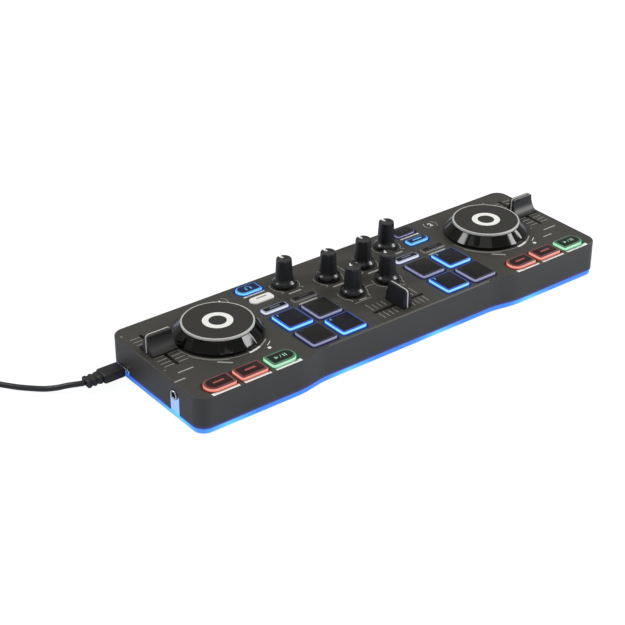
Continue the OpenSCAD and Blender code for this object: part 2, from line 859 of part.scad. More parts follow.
// k is a row of KEYS. The raised middle of the top is drawn in by rim.
module key(k) {
    rim = 1;
    step_h = 0.5;
    flange_top = plate_z - seat_gap;
    stem_z = board_top + switch_h + button_plunger + seat_gap + key_travel;
    at(k[1], k[2], 0) {
        at(0, 0, flange_top - key_flange_t)
            linear_extrude(deck_z + k[5] - step_h - flange_top + key_flange_t)
                key_shape(k[3], k[4], key_corner, k[6]);
        at(0, 0, deck_z + k[5] - step_h - 0.1)
            linear_extrude(step_h + 0.1)
                key_shape(k[3] - 2 * rim, k[4] - 2 * rim, key_corner - 0.7, k[6]);
        at(-k[3] / 2 - key_flange, -k[4] / 4, flange_top - key_flange_t)
            cube([k[3] + 2 * key_flange, k[4] / 2, key_flange_t]);
        at(0, 0, stem_z)
            cylinder(h = flange_top - stem_z, r = 1.6);
    }
}

// ---------------------------------------------------------------- cable

function unit(v) = v / norm(v);

// Ring of n points round the route's point i
function ring(route, i, r, n) =
    let (a = route[max(i - 1, 0)])
    let (b = route[min(i + 1, len(route) - 1)])
    let (along = unit(b - a))
    let (across = unit(cross(along, [0, 0, 1])))
    let (up = cross(across, along))
    [for (j = [0:n - 1]) let (t = (j + 0.5) * 360 / n) route[i] + r * (cos(t) * across + sin(t) * up)];

// A tube swept along a route
module tube(route, r, n) {
    last = len(route) - 1;
    points = [for (i = [0:last]) each ring(route, i, r, n)];
    sides = [
        for (i = [0:last - 1])
            for (j = [0:n - 1])
                [i * n + j, i * n + (j + 1) % n, (i + 1) * n + (j + 1) % n, (i + 1) * n + j]
    ];
    start_face = [for (j = [n - 1:-1:0]) j];
    end_face = [for (j = [0:n - 1]) last * n + j];
    polyhedron(points, concat([start_face, end_face], sides));
}

module cable() {
    color([0.1, 0.1, 0.11]) {
        tube(CABLE_OUT, cable_r, 8);
        tube(CABLE_FAR, cable_r, 8);
    }
}

module cable_coil() {
    half_cols = coil_cols * cable_r;
    color([0.1, 0.1, 0.11])
        translate(coil_centre)
            rotate_extrude()
                translate([coil_mid_r - half_cols, 0])
                    square([2 * half_cols, 2 * coil_rows * cable_r]);
}

// Plug in the controller: a moulded grip, a slimmer strain relief and a metal tongue
module device_plug() {
    grip_l = 13.8;
    relief_l = 10.3;
    face_gap = 1.2;                     // between the case and the plug's body
    at(-half_w - face_gap, usb_y, usb_z)
        rotate([90, 0, -90]) {
            color([0.09, 0.09, 0.1]) {
                linear_extrude(grip_l)
                    rounded(10.4, 5.6, 1.6);
                at(0, 0, grip_l - 0.5)
                    linear_extrude(relief_l + 0.5)
                        rounded(8, 4.8, 1.4);
            }
            color([0.75, 0.75, 0.77])
                at(0, 0, -9)
                    linear_extrude(9.5)
                        square([usb_w - 1.4, usb_h - 1.4], center = true);
        }
}

// Plug for the computer: a moulded grip with a metal shell, lying on its broad side
module computer_plug() {
    neck_l = 4.5;
    grip_l = 20;
    shell_l = 12;
    shell_z = neck_l + grip_l - 1;
    at(far_plug[0], far_plug[1], far_plug[2])
        rotate([90, 0, 0]) {
            color([0.09, 0.09, 0.1]) {
                linear_extrude(neck_l)
                    circle(2.6);
                at(0, 0, neck_l - 0.5)
                    linear_extrude(grip_l)
                        rounded(15.5, 8, 2);
            }
            color([0.75, 0.75, 0.77])
                difference() {
                    at(0, 0, shell_z)
                        linear_extrude(shell_l + 0.5)
                            square([12, 4.5], center = true);
                    at(0, 0.9, shell_z + 1.5)
                        linear_extrude(shell_l + 0.5)
                            square([11.2, 1.9], center = true);
                }
        }
}

// ---------------------------------------------------------------- drawing

top_case();
light_guide();
base_cover();
feet();
case_screws();
main_board();
key_switches();
knob_potentiometers();
slide_potentiometers();
jog_bearings();
phones_jack();
usb_socket();
jog_wheel(-1);  // jog_wheel_left
jog_wheel(1);  // jog_wheel_right
jog_disc(-1);  // jog_disc_left
jog_disc(1);  // jog_disc_right
for (k = KNOBS) {
    knob(k[1], k[2]);
    knob_shaft(k[1], k[2]);
}
crossfader_cap();
crossfader_lever();
tempo_cap(-1);  // tempo_cap_left
tempo_lever(-1);  // tempo_lever_left
tempo_cap(1);  // tempo_cap_right
tempo_lever(1);  // tempo_lever_right
for (k = KEYS)
    color([0.2, 0.2, 0.22]) key(k);
device_plug();
cable();
cable_coil();
computer_plug();
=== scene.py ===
# %% [markdown]
# # A slim two-deck DJ controller
#
# The real object is a moulded charcoal case with two jog wheels, rows of lit rubber pads and transport
# buttons, a small mixer in the middle and a translucent band of light under the case. Its solid parts come
# packed from CAD. This lesson gives those solids their finishes, and models what a moulded solid lacks:
# lit lenses under dark key tops, printed marks, turned discs, fader inserts and a real cable.

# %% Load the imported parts
import bpy
import bmesh
import json
import math
from mathutils import Matrix, Vector


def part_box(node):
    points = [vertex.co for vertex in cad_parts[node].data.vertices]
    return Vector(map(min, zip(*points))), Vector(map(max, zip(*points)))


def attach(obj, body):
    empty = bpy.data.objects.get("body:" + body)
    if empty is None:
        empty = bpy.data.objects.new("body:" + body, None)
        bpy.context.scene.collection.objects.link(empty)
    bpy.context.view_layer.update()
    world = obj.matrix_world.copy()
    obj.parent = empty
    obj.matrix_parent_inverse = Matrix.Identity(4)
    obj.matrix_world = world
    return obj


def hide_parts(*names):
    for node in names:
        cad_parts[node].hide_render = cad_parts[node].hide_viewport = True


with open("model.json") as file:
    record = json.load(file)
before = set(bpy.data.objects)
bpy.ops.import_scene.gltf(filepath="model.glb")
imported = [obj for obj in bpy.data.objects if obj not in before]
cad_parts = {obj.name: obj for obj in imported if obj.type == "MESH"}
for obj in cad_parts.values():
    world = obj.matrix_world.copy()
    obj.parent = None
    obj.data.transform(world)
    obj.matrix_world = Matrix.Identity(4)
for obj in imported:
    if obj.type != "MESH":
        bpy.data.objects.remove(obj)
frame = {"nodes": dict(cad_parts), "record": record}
nodes = frame["nodes"]
scene = bpy.context.scene
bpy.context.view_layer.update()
MM = 0.001
DECK_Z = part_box("top_case")[1].z
print("parts:", len(nodes), "deck height in mm:", round(DECK_Z / MM, 2))

# %% [markdown]
# ## The camera
#
# A long lens from the front left, about thirty degrees up, shows the deck, the front wall with its glowing
# band and the left wall with the headphone jack. A long lens keeps the two decks nearly the same size.

# %% Camera
CAMERA_PLACE = (-0.52927, -0.63280, 0.48263)
CAMERA_AIM = (-0.03172, 0.01104, 0.010)
FOCAL_LENGTH = 91.67


def in_scene(name, data):
    """A new object of the given data, linked into the scene."""
    made = bpy.data.objects.new(name, data)
    scene.collection.objects.link(made)
    return made


camera = in_scene("camera", bpy.data.cameras.new("camera"))
camera.location = CAMERA_PLACE
aim = Vector(CAMERA_AIM) - camera.location
camera.rotation_euler = aim.to_track_quat("-Z", "Y").to_euler()
camera.data.lens = FOCAL_LENGTH
camera.data.sensor_width = 36
camera.data.clip_start = 0.01
scene.camera = camera
print("camera distance in m:", round(aim.length, 3))

# %% [markdown]
# ## Colours and small helpers
#
# Colours are noted the way a paint chart gives them, as red, green and blue from 0 to 255, and turned into
# the linear values that shaders work in. Every new piece goes through `finish_piece`, which gives it one
# mesh in place, its materials, smooth or flat shading, and the body of the object that it moves with.

# %% Colours and piece helper
def ink(red, green, blue):
    """A paint-chart colour as linear values."""
    shares = [value / 255 for value in (red, green, blue)]
    linear = [s / 12.92 if s <= 0.04045 else ((s + 0.055) / 1.055) ** 2.4 for s in shares]
    return (*linear, 1.0)


def as_mesh(name, bm):
    """Hands a bmesh over to a new mesh."""
    mesh = bpy.data.meshes.new(name)
    bm.to_mesh(mesh)
    bm.free()
    return mesh


def finish_piece(name, bm, materials, body, smooth=30):
    """Turns a bmesh into a piece that rides on a body; smooth is the sharpest angle shaded as round."""
    bmesh.ops.remove_doubles(bm, verts=bm.verts, dist=1e-6)
    bmesh.ops.recalc_face_normals(bm, faces=bm.faces)
    mesh = as_mesh(name, bm)
    for material in materials:
        mesh.materials.append(material)
    piece = in_scene(name, mesh)
    if smooth:
        mesh.shade_smooth()
        mesh.set_sharp_from_angle(angle=math.radians(smooth))
    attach(piece, body)
    return piece


# %% [markdown]
# ## The cable
#
# A thin round cable leaves the plug in the left wall, drops to the table and curves away to the left. The
# rest of its one metre is wound flat into a storage coil, four turns side by side and two high, and ends in
# the plug for the computer. A curve with a round bevel is the natural tool, because its line is the cable's
# centreline and its length can be measured. The points carry the cable's radius and the bevel is one, since
# Blender draws a curve's bounding box from its points' radii.

# %% Cable route
CABLE_R = 1.65
COIL_CENTRE = (-236.0, 86.0)
COIL_RADII = [23.95, 20.65, 17.35, 14.05, 14.05, 17.35, 20.65, 23.95]
COIL_LEVELS = [1.7] * 4 + [5.0] * 4
COIL_START = -25
COIL_SWEEP = 7 * 360 + 200
COIL_STEP = 20
CABLE_OUT = [
    (-175.3, 32, 6.2), (-178, 33, 6.2), (-180.6, 34.8, 5.8), (-182.9, 36.9, 5.1), (-185, 38.9, 4.2),
    (-187, 40.9, 3.3), (-189, 43, 2.6), (-191.1, 45.1, 2), (-193.4, 47.3, 1.7), (-198, 51.6, 1.7),
    (-202.8, 56.6, 1.7), (-207, 62, 1.7), (-210.5, 67, 1.7), (-213, 72, 1.7),
]
CABLE_FAR = [(-260, 83, 4.9), (-260.4, 78, 4.2), (-261.2, 72, 3.8), (-262, 66, 4)]


def coil_points():
    """The coil's turns, each easing into the next over the last sixty degrees."""
    points = []
    for swept in range(0, COIL_SWEEP, COIL_STEP):
        turn, share = divmod(swept / 360, 1)
        turn = int(turn)
        after = min(turn + 1, len(COIL_RADII) - 1)
        ease = max(0.0, (share - 5 / 6) * 6)
        ease = ease * ease * (3 - 2 * ease)
        radius = COIL_RADII[turn] + (COIL_RADII[after] - COIL_RADII[turn]) * ease
        level = COIL_LEVELS[turn] + (COIL_LEVELS[after] - COIL_LEVELS[turn]) * ease
        angle = math.radians(COIL_START + swept)
        points.append((COIL_CENTRE[0] + radius * math.cos(angle),
                       COIL_CENTRE[1] + radius * math.sin(angle), level))
    return points


route = CABLE_OUT + coil_points() + CABLE_FAR
print("route points:", len(route))

# %% Cable
cable_curve = bpy.data.curves.new("cable_line", "CURVE")
cable_curve.dimensions = "3D"
line = cable_curve.splines.new("BEZIER")
line.bezier_points.add(len(route) - 1)
for point, place in zip(line.bezier_points, route):
    point.co = Vector(place) * MM
    point.handle_left_type = point.handle_right_type = "AUTO"
    point.radius = CABLE_R * MM
cable_curve.bevel_depth = 1
cable_curve.bevel_resolution = 5
cable_curve.resolution_u = 5
cable_curve.use_fill_caps = True
usb_cable = in_scene("usb_cable", cable_curve)
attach(usb_cable, "root")
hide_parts("cable", "cable_coil")

# %% [markdown]
# ## Table, world and lamps
#
# A plain white table runs out of sight, so edges and colours read clearly. The camera sees the table and the
# world as white, while they light the object at a plain, lower level. A softbox on the right and a small one
# on the left give the gloss parts their compact highlights; a wide one overhead lights the deck evenly.

# %% Node helpers
def feed(node, inputs):
    """Gives a node's inputs plain values, or the outputs that feed them."""
    for name, value in inputs.items():
        if isinstance(value, bpy.types.NodeSocket):
            node.id_data.links.new(value, node.inputs[name])
        else:
            node.inputs[name].default_value = value


def add_node(tree, kind, inputs=None, **settings):
    """Adds a shader node with its settings and inputs."""
    node = tree.nodes.new(kind)
    for setting, value in settings.items():
        setattr(node, setting, value)
    feed(node, inputs or {})
    return node


def blank_material(name):
    """A new material, and its node tree."""
    material = bpy.data.materials.new(name)
    material.use_nodes = True
    return material, material.node_tree


def mix_shaders(tree, share, first, second):
    """Sends two shaders to the output, the second one by a share."""
    mix = add_node(tree, "ShaderNodeMixShader", {"Fac": share, 1: first, 2: second})
    feed(tree.nodes["Material Output"], {"Surface": mix.outputs["Shader"]})


# %% Table
TABLE_SEEN = 0.86
TABLE_GLOW = 1.1
sheet = bmesh.new()
bmesh.ops.create_grid(sheet, x_segments=1, y_segments=1, size=6)
bmesh.ops.translate(sheet, verts=sheet.verts, vec=(0, 0, -0.0002))
table = in_scene("table", as_mesh("table", sheet))
table_white, tree = blank_material("table_white")
matte = tree.nodes["Principled BSDF"]
feed(matte, {"Base Color": ink(224, 231, 248), "Roughness": 0.9, "Specular IOR Level": 0.1})
glow = add_node(tree, "ShaderNodeEmission", {"Strength": TABLE_GLOW})
seen = add_node(tree, "ShaderNodeLightPath").outputs["Is Camera Ray"]
share = add_node(tree, "ShaderNodeMath", {0: seen, 1: TABLE_SEEN}, operation="MULTIPLY")
mix_shaders(tree, share.outputs[0], matte.outputs["BSDF"], glow.outputs["Emission"])
table.data.materials.append(table_white)
print("table ready")

# %% World and lamps
SKY_LIGHT = 0.42
world = bpy.data.worlds.new("studio")
world.use_nodes = True
scene.world = world
air = world.node_tree
seen = add_node(air, "ShaderNodeLightPath").outputs["Is Camera Ray"]
strength = add_node(air, "ShaderNodeMapRange", {"Value": seen, "To Min": SKY_LIGHT, "To Max": 1.0})
feed(air.nodes["Background"], {"Color": (1, 1, 1, 1), "Strength": strength.outputs["Result"]})


def softbox(name, direction, distance, size, power):
    """A square lamp that faces the object from a direction."""
    lamp = bpy.data.lights.new(name, "AREA")
    lamp.size = size
    lamp.energy = power
    box = in_scene(name, lamp)
    way = Vector(direction).normalized()
    box.location = way * distance
    box.rotation_euler = (-way).to_track_quat("-Z", "Y").to_euler()


softbox("softbox_right", (0.73, -0.46, 0.53), 1.4, 0.42, 11.0)
softbox("softbox_left", (-0.55, 0.42, 0.72), 1.4, 0.34, 6.0)
softbox("softbox_above", (-0.15, -0.15, 1.0), 1.5, 1.0, 3.4)
scene.view_settings.view_transform = "Standard"

# %% [markdown]
# ## Moulded plastics
#
# A moulded case is sprayed or cast with a fine even grain. Its look is three things: a colour that wanders
# very slightly, a roughness that does too, and a bump of grain a third of a millimetre across. One helper
# builds that from noise on Object coordinates, so the grain stays fixed to the part and keeps its scale.

# %% Grained finish
ROUGH_DRIFT = 0.06


def mix_colours(tree, factor, first, second):
    """Mixes two colours, plain or linked, by a linked factor."""
    mix = add_node(tree, "ShaderNodeMix", {"Factor": factor, "A": first, "B": second}, data_type="RGBA")
    return mix.outputs["Result"]


def finish(name, colour, roughness, grain=0.35, depth=0.02, drift=0.12, metallic=0.0, specular=0.5,
           sheen=0.0):
    """A finish with fine grain; grain and depth are in millimetres, drift is how far the colour wanders."""
    material, tree = blank_material(name)
    place = add_node(tree, "ShaderNodeTexCoord").outputs["Object"]
    fine = add_node(tree, "ShaderNodeTexNoise", {"Vector": place, "Scale": 1 / (grain * MM), "Detail": 3})
    broad = add_node(tree, "ShaderNodeTexNoise", {"Vector": place, "Scale": 60, "Detail": 4})
    darker = (*[c * (1 - drift) for c in colour[:3]], 1)
    lighter = (*[min(1, c * (1 + drift)) for c in colour[:3]], 1)
    rough = add_node(tree, "ShaderNodeMapRange", {
        "Value": fine.outputs["Fac"], "To Min": max(0.02, roughness - ROUGH_DRIFT),
        "To Max": min(1, roughness + ROUGH_DRIFT)})
    bump = add_node(tree, "ShaderNodeBump", {
        "Height": fine.outputs["Fac"], "Strength": 0.5, "Distance": depth * MM})
    feed(tree.nodes["Principled BSDF"], {
        "Base Color": mix_colours(tree, broad.outputs["Fac"], darker, lighter),
        "Roughness": rough.outputs["Result"], "Normal": bump.outputs["Normal"],
        "Metallic": metallic, "Specular IOR Level": specular, "Sheen Weight": sheen})
    return material


def dress(material, *names):
    """Gives CAD parts a finish through their material slots."""
    for name in names:
        for slot in nodes[name].material_slots:
            slot.material = material


case_finish = finish("case_grain", ink(60, 58, 53), 0.5, depth=0.015, specular=0.4)
dress(case_finish, "top_case")
dress(finish("base_grain", ink(30, 30, 31), 0.6, grain=0.6, depth=0.03), "base_cover")
dress(finish("foot_rubber", ink(22, 22, 22), 0.85, grain=0.5, depth=0.03, specular=0.3), "feet")
print("case, base and feet are finished")

# %% [markdown]
# ## Metals and inner parts
#
# Screws, shafts and sockets are plated or turned metal: fully metallic, with a fine grain that breaks up the
# reflection. Inside, the circuit board, switches and potentiometers get the plain finishes such parts have.

# %% Inner finishes
steel = finish("zinc_plate", ink(165, 165, 168), 0.35, grain=0.8, depth=0.01, metallic=1.0)
nickel = finish("satin_nickel", ink(195, 195, 198), 0.25, grain=0.5, depth=0.005, metallic=1.0)
dress(steel, "case_screws", "slide_potentiometers", *[n for n in nodes if "_shaft" in n or "_lever" in n])
dress(nickel, "usb_socket")
dress(finish("solder_mask", ink(18, 84, 52), 0.35, grain=1.5, depth=0.01), "main_board")
dress(finish("switch_nylon", ink(48, 48, 50), 0.55), "key_switches")
dress(finish("resin", ink(105, 104, 98), 0.6), "knob_potentiometers")
dress(finish("acetal", ink(205, 204, 196), 0.45), "jog_bearings")
dress(finish("jack_nylon", ink(34, 34, 35), 0.45), "phones_jack")
cable_skin = finish("cable_skin", ink(26, 26, 28), 0.42, grain=0.8, depth=0.01)
plug_skin = finish("plug_skin", ink(30, 30, 32), 0.48, grain=0.4, depth=0.02)
usb_cable.data.materials.append(cable_skin)
print("inner finishes done")

# %% [markdown]
# ## The band of light
#
# Under the case runs a translucent band, lit from behind by a few lamps, so it is cyan where a lamp sits and
# deep blue between them. The colour follows the place along the case: a ramp over X for the long sides and
# one over Y for the ends, as a light guide would show it. Its two tabs at the sockets are a little paler.
# The foot of the case's wall catches some of that light: it glows for half a millimetre and fades out within
# two and a half, so the case's own finish gets this glow by height.

# %% Helpers for coloured light
def object_axes(tree):
    """The X, Y and Z of the place on a piece."""
    place = add_node(tree, "ShaderNodeTexCoord").outputs["Object"]
    return add_node(tree, "ShaderNodeSeparateXYZ", {"Vector": place}).outputs


def ramp(tree, factor, stops):
    """A colour ramp with stops of (position, colour)."""
    node = add_node(tree, "ShaderNodeValToRGB", {"Fac": factor})
    edge = node.color_ramp.elements
    edge[0].position, edge[0].color = stops[0]
    edge[1].position, edge[1].color = stops[-1]
    for position, colour in stops[1:-1]:
        edge.new(position).color = colour
    return node.outputs["Color"]


def spread(tree, value, low, high):
    """Maps low..high, in millimetres, to 0..1."""
    node = add_node(tree, "ShaderNodeMapRange", {"Value": value, "From Min": low * MM, "From Max": high * MM})
    return node.outputs["Result"]


def let_glow(material, colour, strength):
    """Gives a finish light of its own, in a linked colour."""
    surface = material.node_tree.nodes["Principled BSDF"]
    feed(surface, {"Emission Color": colour, "Emission Strength": strength})


# %% Light guide
LAMPS_X = (-132, -46, 20, 92)
LAMP_Y = -24
LAMP_REACH = 20
HALF_WIDTH, HALF_DEPTH = 150, 45
BAND_GLOW = 0.9
lamp_cyan = ink(104, 214, 246)
lamp_blue = ink(66, 138, 240)
lamp_deep = ink(38, 92, 205)
band_light = finish("band_light", ink(20, 60, 110), 0.3, drift=0.05)
tree = band_light.node_tree
axes = object_axes(tree)
stops = [(0.0, lamp_blue)]
for x in LAMPS_X:
    start, middle, end = [(x + shift + HALF_WIDTH) / (2 * HALF_WIDTH)
                          for shift in (-LAMP_REACH, 0, LAMP_REACH)]
    stops += [(start + 0.012, lamp_blue), (middle, lamp_cyan), (end, lamp_blue)]
stops[1] = (0.004, lamp_blue)
along = ramp(tree, spread(tree, axes["X"], -HALF_WIDTH, HALF_WIDTH), stops + [(1.0, lamp_blue)])
across = ramp(tree, spread(tree, axes["Y"], -HALF_DEPTH, HALF_DEPTH),
              [(0.0, lamp_blue), ((LAMP_Y + HALF_DEPTH) / (2 * HALF_DEPTH), lamp_cyan), (0.55, lamp_blue),
               (1.0, lamp_deep)])
end_side = add_node(tree, "ShaderNodeMath", {0: axes["X"]}, operation="ABSOLUTE").outputs[0]
light_colour = mix_colours(tree, spread(tree, end_side, 146, 149), along, across)
light_colour = mix_colours(tree, spread(tree, axes["Z"], 4, 6), light_colour, ink(168, 196, 250))
let_glow(band_light, light_colour, BAND_GLOW)
dress(band_light, "light_guide")
print("band colours:", len(stops) + 1)

# %% Band light on the wall's foot
WALL_LIT = 0.55
WALL_SOFT = 0.2
WALL_GLOW = 2.4
tree = case_finish.node_tree
height = object_axes(tree)["Z"]
wall_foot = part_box("top_case")[0].z / MM
lit_end = wall_foot + WALL_LIT
at_the_edge = spread(tree, height, lit_end - WALL_SOFT, lit_end + WALL_SOFT)
up_the_wall = spread(tree, height, lit_end + WALL_SOFT, wall_foot + WALL_GLOW)
faded = mix_colours(tree, up_the_wall, ink(14, 18, 118), ink(0, 0, 0))
let_glow(case_finish, mix_colours(tree, at_the_edge, ink(64, 132, 250), faded), BAND_GLOW)
print("wall glow starts at z in mm:", round(wall_foot, 2))

# %% [markdown]
# ## Button finishes
#
# Each button is a clear rubber or plastic body under a dark top coat. Light from a diode below leaves through
# the clear rim and walls: cyan, white, red or green where the button is on, and a dull violet grey where it
# is off. Low down, near the deck, the light is deeper and dimmer, so the colour follows the height. The unlit
# mode button and the pale grey keys have no light of their own: their glow is painted light.

# %% Lens and top coat
LENS_FADE = 0.7
CLEAR_BODY = (44, 46, 58)
OTHER_BODIES = {"lens_off": (50, 51, 62), "rim_off": (36, 37, 46), "lens_grey": (62, 61, 58),
                "lens_pale": (160, 158, 154)}


def lens(name, rim, foot, strength):
    """A clear body that glows from foot colour at the deck to rim colour a little above it."""
    body = OTHER_BODIES.get(name, CLEAR_BODY)
    material = finish(name, ink(*body), 0.28, grain=0.6, depth=0.008, drift=0.05)
    tree = material.node_tree
    height = spread(tree, object_axes(tree)["Z"], DECK_Z / MM, DECK_Z / MM + LENS_FADE)
    let_glow(material, mix_colours(tree, height, ink(*foot), ink(*rim)), strength)
    return material


def coat(name, colour):
    """A dark satin top coat."""
    return finish(name, ink(*colour), 0.45, grain=0.5, depth=0.012, specular=0.3)


top_coat = coat("top_coat", (15, 14, 12))
COATS = {glass: coat(f"top_coat_{glass}", colour) for glass, colour in (
    ("blue", (12, 12, 24)), ("sky", (14, 24, 74)), ("red", (34, 15, 10)), ("green", (16, 24, 18)))}
print("top coats:", len(COATS) + 1)

# %% Glass of every colour
# For each: the wall's colour at its top and at the deck, and its strength; the rim's; the sign's.
GLASSES = {
    "blue": ((140, 232, 252), (26, 52, 150), 1.0, (40, 96, 214), 0.9, (90, 190, 245), 1.0),
    "sky": ((150, 232, 252), (60, 140, 230), 1.0, (76, 170, 236), 0.95, (90, 190, 245), 1.0),
    "white": ((240, 243, 248), (192, 201, 226), 1.0, (176, 182, 204), 0.8, (118, 122, 138), 0.6),
    "red": ((246, 164, 142), (232, 104, 80), 0.95, (132, 54, 38), 0.7, (168, 66, 48), 0.8),
    "green": ((190, 244, 208), (146, 230, 174), 0.95, (72, 136, 92), 0.8, (150, 214, 172), 0.85),
    "off": ((160, 162, 196), (30, 34, 84), 0.8, (50, 52, 86), 0.5, (44, 44, 46), 0.4),
    # Painted light: the grey glass, on the unlit mode button, glows only to stand in for the light on its
    # walls, lighter at the top.
    "grey": ((134, 132, 124), (84, 83, 78), 0.6, (96, 94, 88), 0.5, (48, 48, 46), 0.4),
}
LENSES, RIMS, SIGNS = {}, {}, {}
for glass, (top, foot, lit, rim, rim_lit, sign, sign_lit) in GLASSES.items():
    LENSES[glass] = lens(f"lens_{glass}", top, foot, lit)
    RIMS[glass] = lens(f"rim_{glass}", rim, rim, rim_lit)
    SIGNS[glass] = lens(f"sign_{glass}", sign, sign, sign_lit)
# Painted light: the pale grey keys are unlit; their glow, lighter at the top than at the foot, stands in for
# the light falling on them.
LENSES["pale"] = RIMS["pale"] = COATS["pale"] = lens("lens_pale", (226, 224, 218), (150, 148, 144), 0.6)
SIGNS["pale"] = finish("sign_dark", ink(120, 118, 114), 0.5, grain=0.2, depth=0.004)
print("lenses:", list(LENSES))

# %% [markdown]
# ## Buttons
#
# A button starts as one flat rectangle. Its corners are rounded, by almost half its depth at an end that is
# drawn as a half round. The face is pulled up to the wall's height, drawn in by the width of the rim, and
# pulled up once more, so the dark top stands inside a lit rim; small bevels soften the edges.

# %% Button outline
KEY_SIDE_GAP = 1.0
CORNER = 1.6
HALF_ROUND = 0.47
TRANSPORT = ("sync", "cue", "play")
ROUND_END = {"sync": -1, "play": 1}


def soften(bm, geom, width, segments, affect="EDGES"):
    """Rounds edges or corners off by a width in millimetres."""
    bmesh.ops.bevel(bm, geom=geom, offset=width * MM, offset_type="OFFSET", affect=affect, segments=segments,
                    profile=0.5, material=-1)


def middle_of(name):
    """The middle of a part's box, seen from above."""
    low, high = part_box(name)
    return ((low.x + high.x) / 2, (low.y + high.y) / 2)


def button_outline(name, z, grow=0.0):
    """A flat face of the button's outline, grown all round by grow, at height z."""
    low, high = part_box(name)
    width = (high.x - low.x) / MM - 2 * KEY_SIDE_GAP + 2 * grow
    depth = (high.y - low.y) / MM + 2 * grow
    x, y = middle_of(name)
    bm = bmesh.new()
    bmesh.ops.create_grid(bm, x_segments=1, y_segments=1, size=0.5)
    bmesh.ops.scale(bm, verts=bm.verts, vec=(width * MM, depth * MM, 1))
    bmesh.ops.translate(bm, verts=bm.verts, vec=(x, y, z))
    kind = name.split("_")[1]
    side = -1 if name.startswith("left") else 1
    round_end = side if kind in ("listen", "shift") else ROUND_END.get(kind)
    for end in (-1, 1):
        corners = [v for v in bm.verts if (v.co.x - x) * end > 0]
        bow = round_end == end
        soften(bm, corners, depth * HALF_ROUND if bow else CORNER + grow, 10 if bow else 6, affect="VERTICES")
    return bm


# %% Signs on the buttons
PRINT_T = 0.03


def add_box(bm, size, centre, turn=0.0):
    """A box in millimetres, turned by degrees about its upright axis; returns its corners."""
    made = bmesh.ops.create_cube(bm, size=1)["verts"]
    bmesh.ops.scale(bm, verts=made, vec=[v * MM for v in size])
    bmesh.ops.rotate(bm, verts=made, matrix=Matrix.Rotation(math.radians(turn), 3, "Z"))
    bmesh.ops.translate(bm, verts=made, vec=[v * MM for v in centre])
    return made


def add_bar(bm, x, y, z, width, depth, turn=0.0):
    """A thin printed bar, centred at x, y and lying on z."""
    add_box(bm, (width, depth, PRINT_T), (x, y, z + PRINT_T / 2), turn)


def add_digit(bm, digit, x, y, z, size, bold=0.0):
    """A plain printed digit, centred at x, y."""
    letter = bpy.data.curves.new("digit", "FONT")
    letter.body = digit
    letter.size = size * MM
    letter.extrude = PRINT_T / 2 * MM
    letter.offset = bold * MM
    letter.align_x = letter.align_y = "CENTER"
    letter.resolution_u = 3
    holder = in_scene("digit", letter)
    bpy.context.view_layer.update()
    flat = bpy.data.meshes.new_from_object(holder)
    flat.transform(Matrix.Translation((x * MM, y * MM, (z + PRINT_T / 2) * MM)))
    bm.from_mesh(flat)
    bpy.data.objects.remove(holder)
    bpy.data.curves.remove(letter)
    bpy.data.meshes.remove(flat)


def add_sign(bm, name):
    """The sign on a button's top: a digit, play and pause, headphones or a plain bar."""
    kind = name.split("_", 1)[1]
    low, high = [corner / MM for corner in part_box(name)]
    x, y = (low.x + high.x) / 2, (low.y + high.y) / 2
    z = high.z
    if kind.startswith("pad"):
        add_digit(bm, kind[-1], low.x + 3.7, high.y - 2.9, z, 3.2)
    elif kind == "play":
        made = bmesh.ops.create_cone(bm, cap_ends=True, segments=3, radius1=1.5 * MM, radius2=1.5 * MM,
                                     depth=PRINT_T * MM)["verts"]
        bmesh.ops.rotate(bm, verts=made, matrix=Matrix.Rotation(-math.pi / 2, 3, "Z"))
        bmesh.ops.translate(bm, verts=made, vec=((x - 3.4) * MM, y * MM, (z + PRINT_T / 2) * MM))
        add_bar(bm, x - 0.5, y, z, 2.8, 0.35, 68)
        for shift in (1.6, 3.0):
            add_bar(bm, x + shift, y, z, 0.7, 2.6)
    elif kind == "listen":
        for shift in (-1.6, 1.6):
            add_bar(bm, x + shift, y - 0.9, z, 0.9, 1.7)
        for degrees in range(0, 181, 30):
            way = math.radians(degrees)
            add_bar(bm, x + 1.75 * math.cos(way), y + 1.75 * math.sin(way), z, 0.95, 0.32, degrees + 90)
    else:
        add_bar(bm, x, y, z, 7.0, 1.5 if kind in TRANSPORT else 1.0)


# %% Button bodies
RIM = 1.0
WIDE_RIM = 1.4
RIM_SOFT = 0.28
STEP = 0.5
SUNK = 2.4


def faces_in(made):
    """The faces among what an operator made."""
    return [f for f in made["geom"] if isinstance(f, bmesh.types.BMFace)]


def lift(bm, faces, rise):
    """Moves faces straight up."""
    bmesh.ops.translate(bm, verts=list({v for f in faces for v in f.verts}), vec=(0, 0, rise))


def make_button(name, glass):
    """The button: a lit body with a raised dark top."""
    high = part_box(name)[1]
    foot = DECK_Z - SUNK * MM
    rim_z = high.z - STEP * MM
    bm = button_outline(name, foot)
    top = faces_in(bmesh.ops.extrude_face_region(bm, geom=bm.faces[:]))
    lift(bm, top, rim_z - foot)
    soften(bm, [e for f in top for e in f.edges], RIM_SOFT, 3)
    top = [max(bm.faces, key=lambda f: (round(f.calc_center_median().z, 6), f.calc_area()))]
    rim = WIDE_RIM if name.split("_")[1] in TRANSPORT else RIM
    bmesh.ops.inset_region(bm, faces=top, thickness=(rim - RIM_SOFT) * MM, use_even_offset=True)
    raised = faces_in(bmesh.ops.extrude_face_region(bm, geom=top))
    bmesh.ops.delete(bm, geom=top, context="FACES_ONLY")
    lift(bm, raised, STEP * MM)
    soften(bm, [e for f in raised for e in f.edges], 0.2, 3)
    for face in bm.faces:
        height = face.calc_center_median().z
        face.material_index = 1 if height > high.z - 0.12 * MM else 3 if height > rim_z - 0.02 * MM else 0
    add_sign(bm, name)
    for face in bm.faces:
        if face.calc_center_median().z > high.z + 0.001 * MM:
            face.material_index = 2
    materials = [LENSES[glass], COATS.get(glass, top_coat), SIGNS[glass], RIMS[glass]]
    piece = finish_piece(name + "_cap", bm, materials, name, smooth=20)
    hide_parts(name)


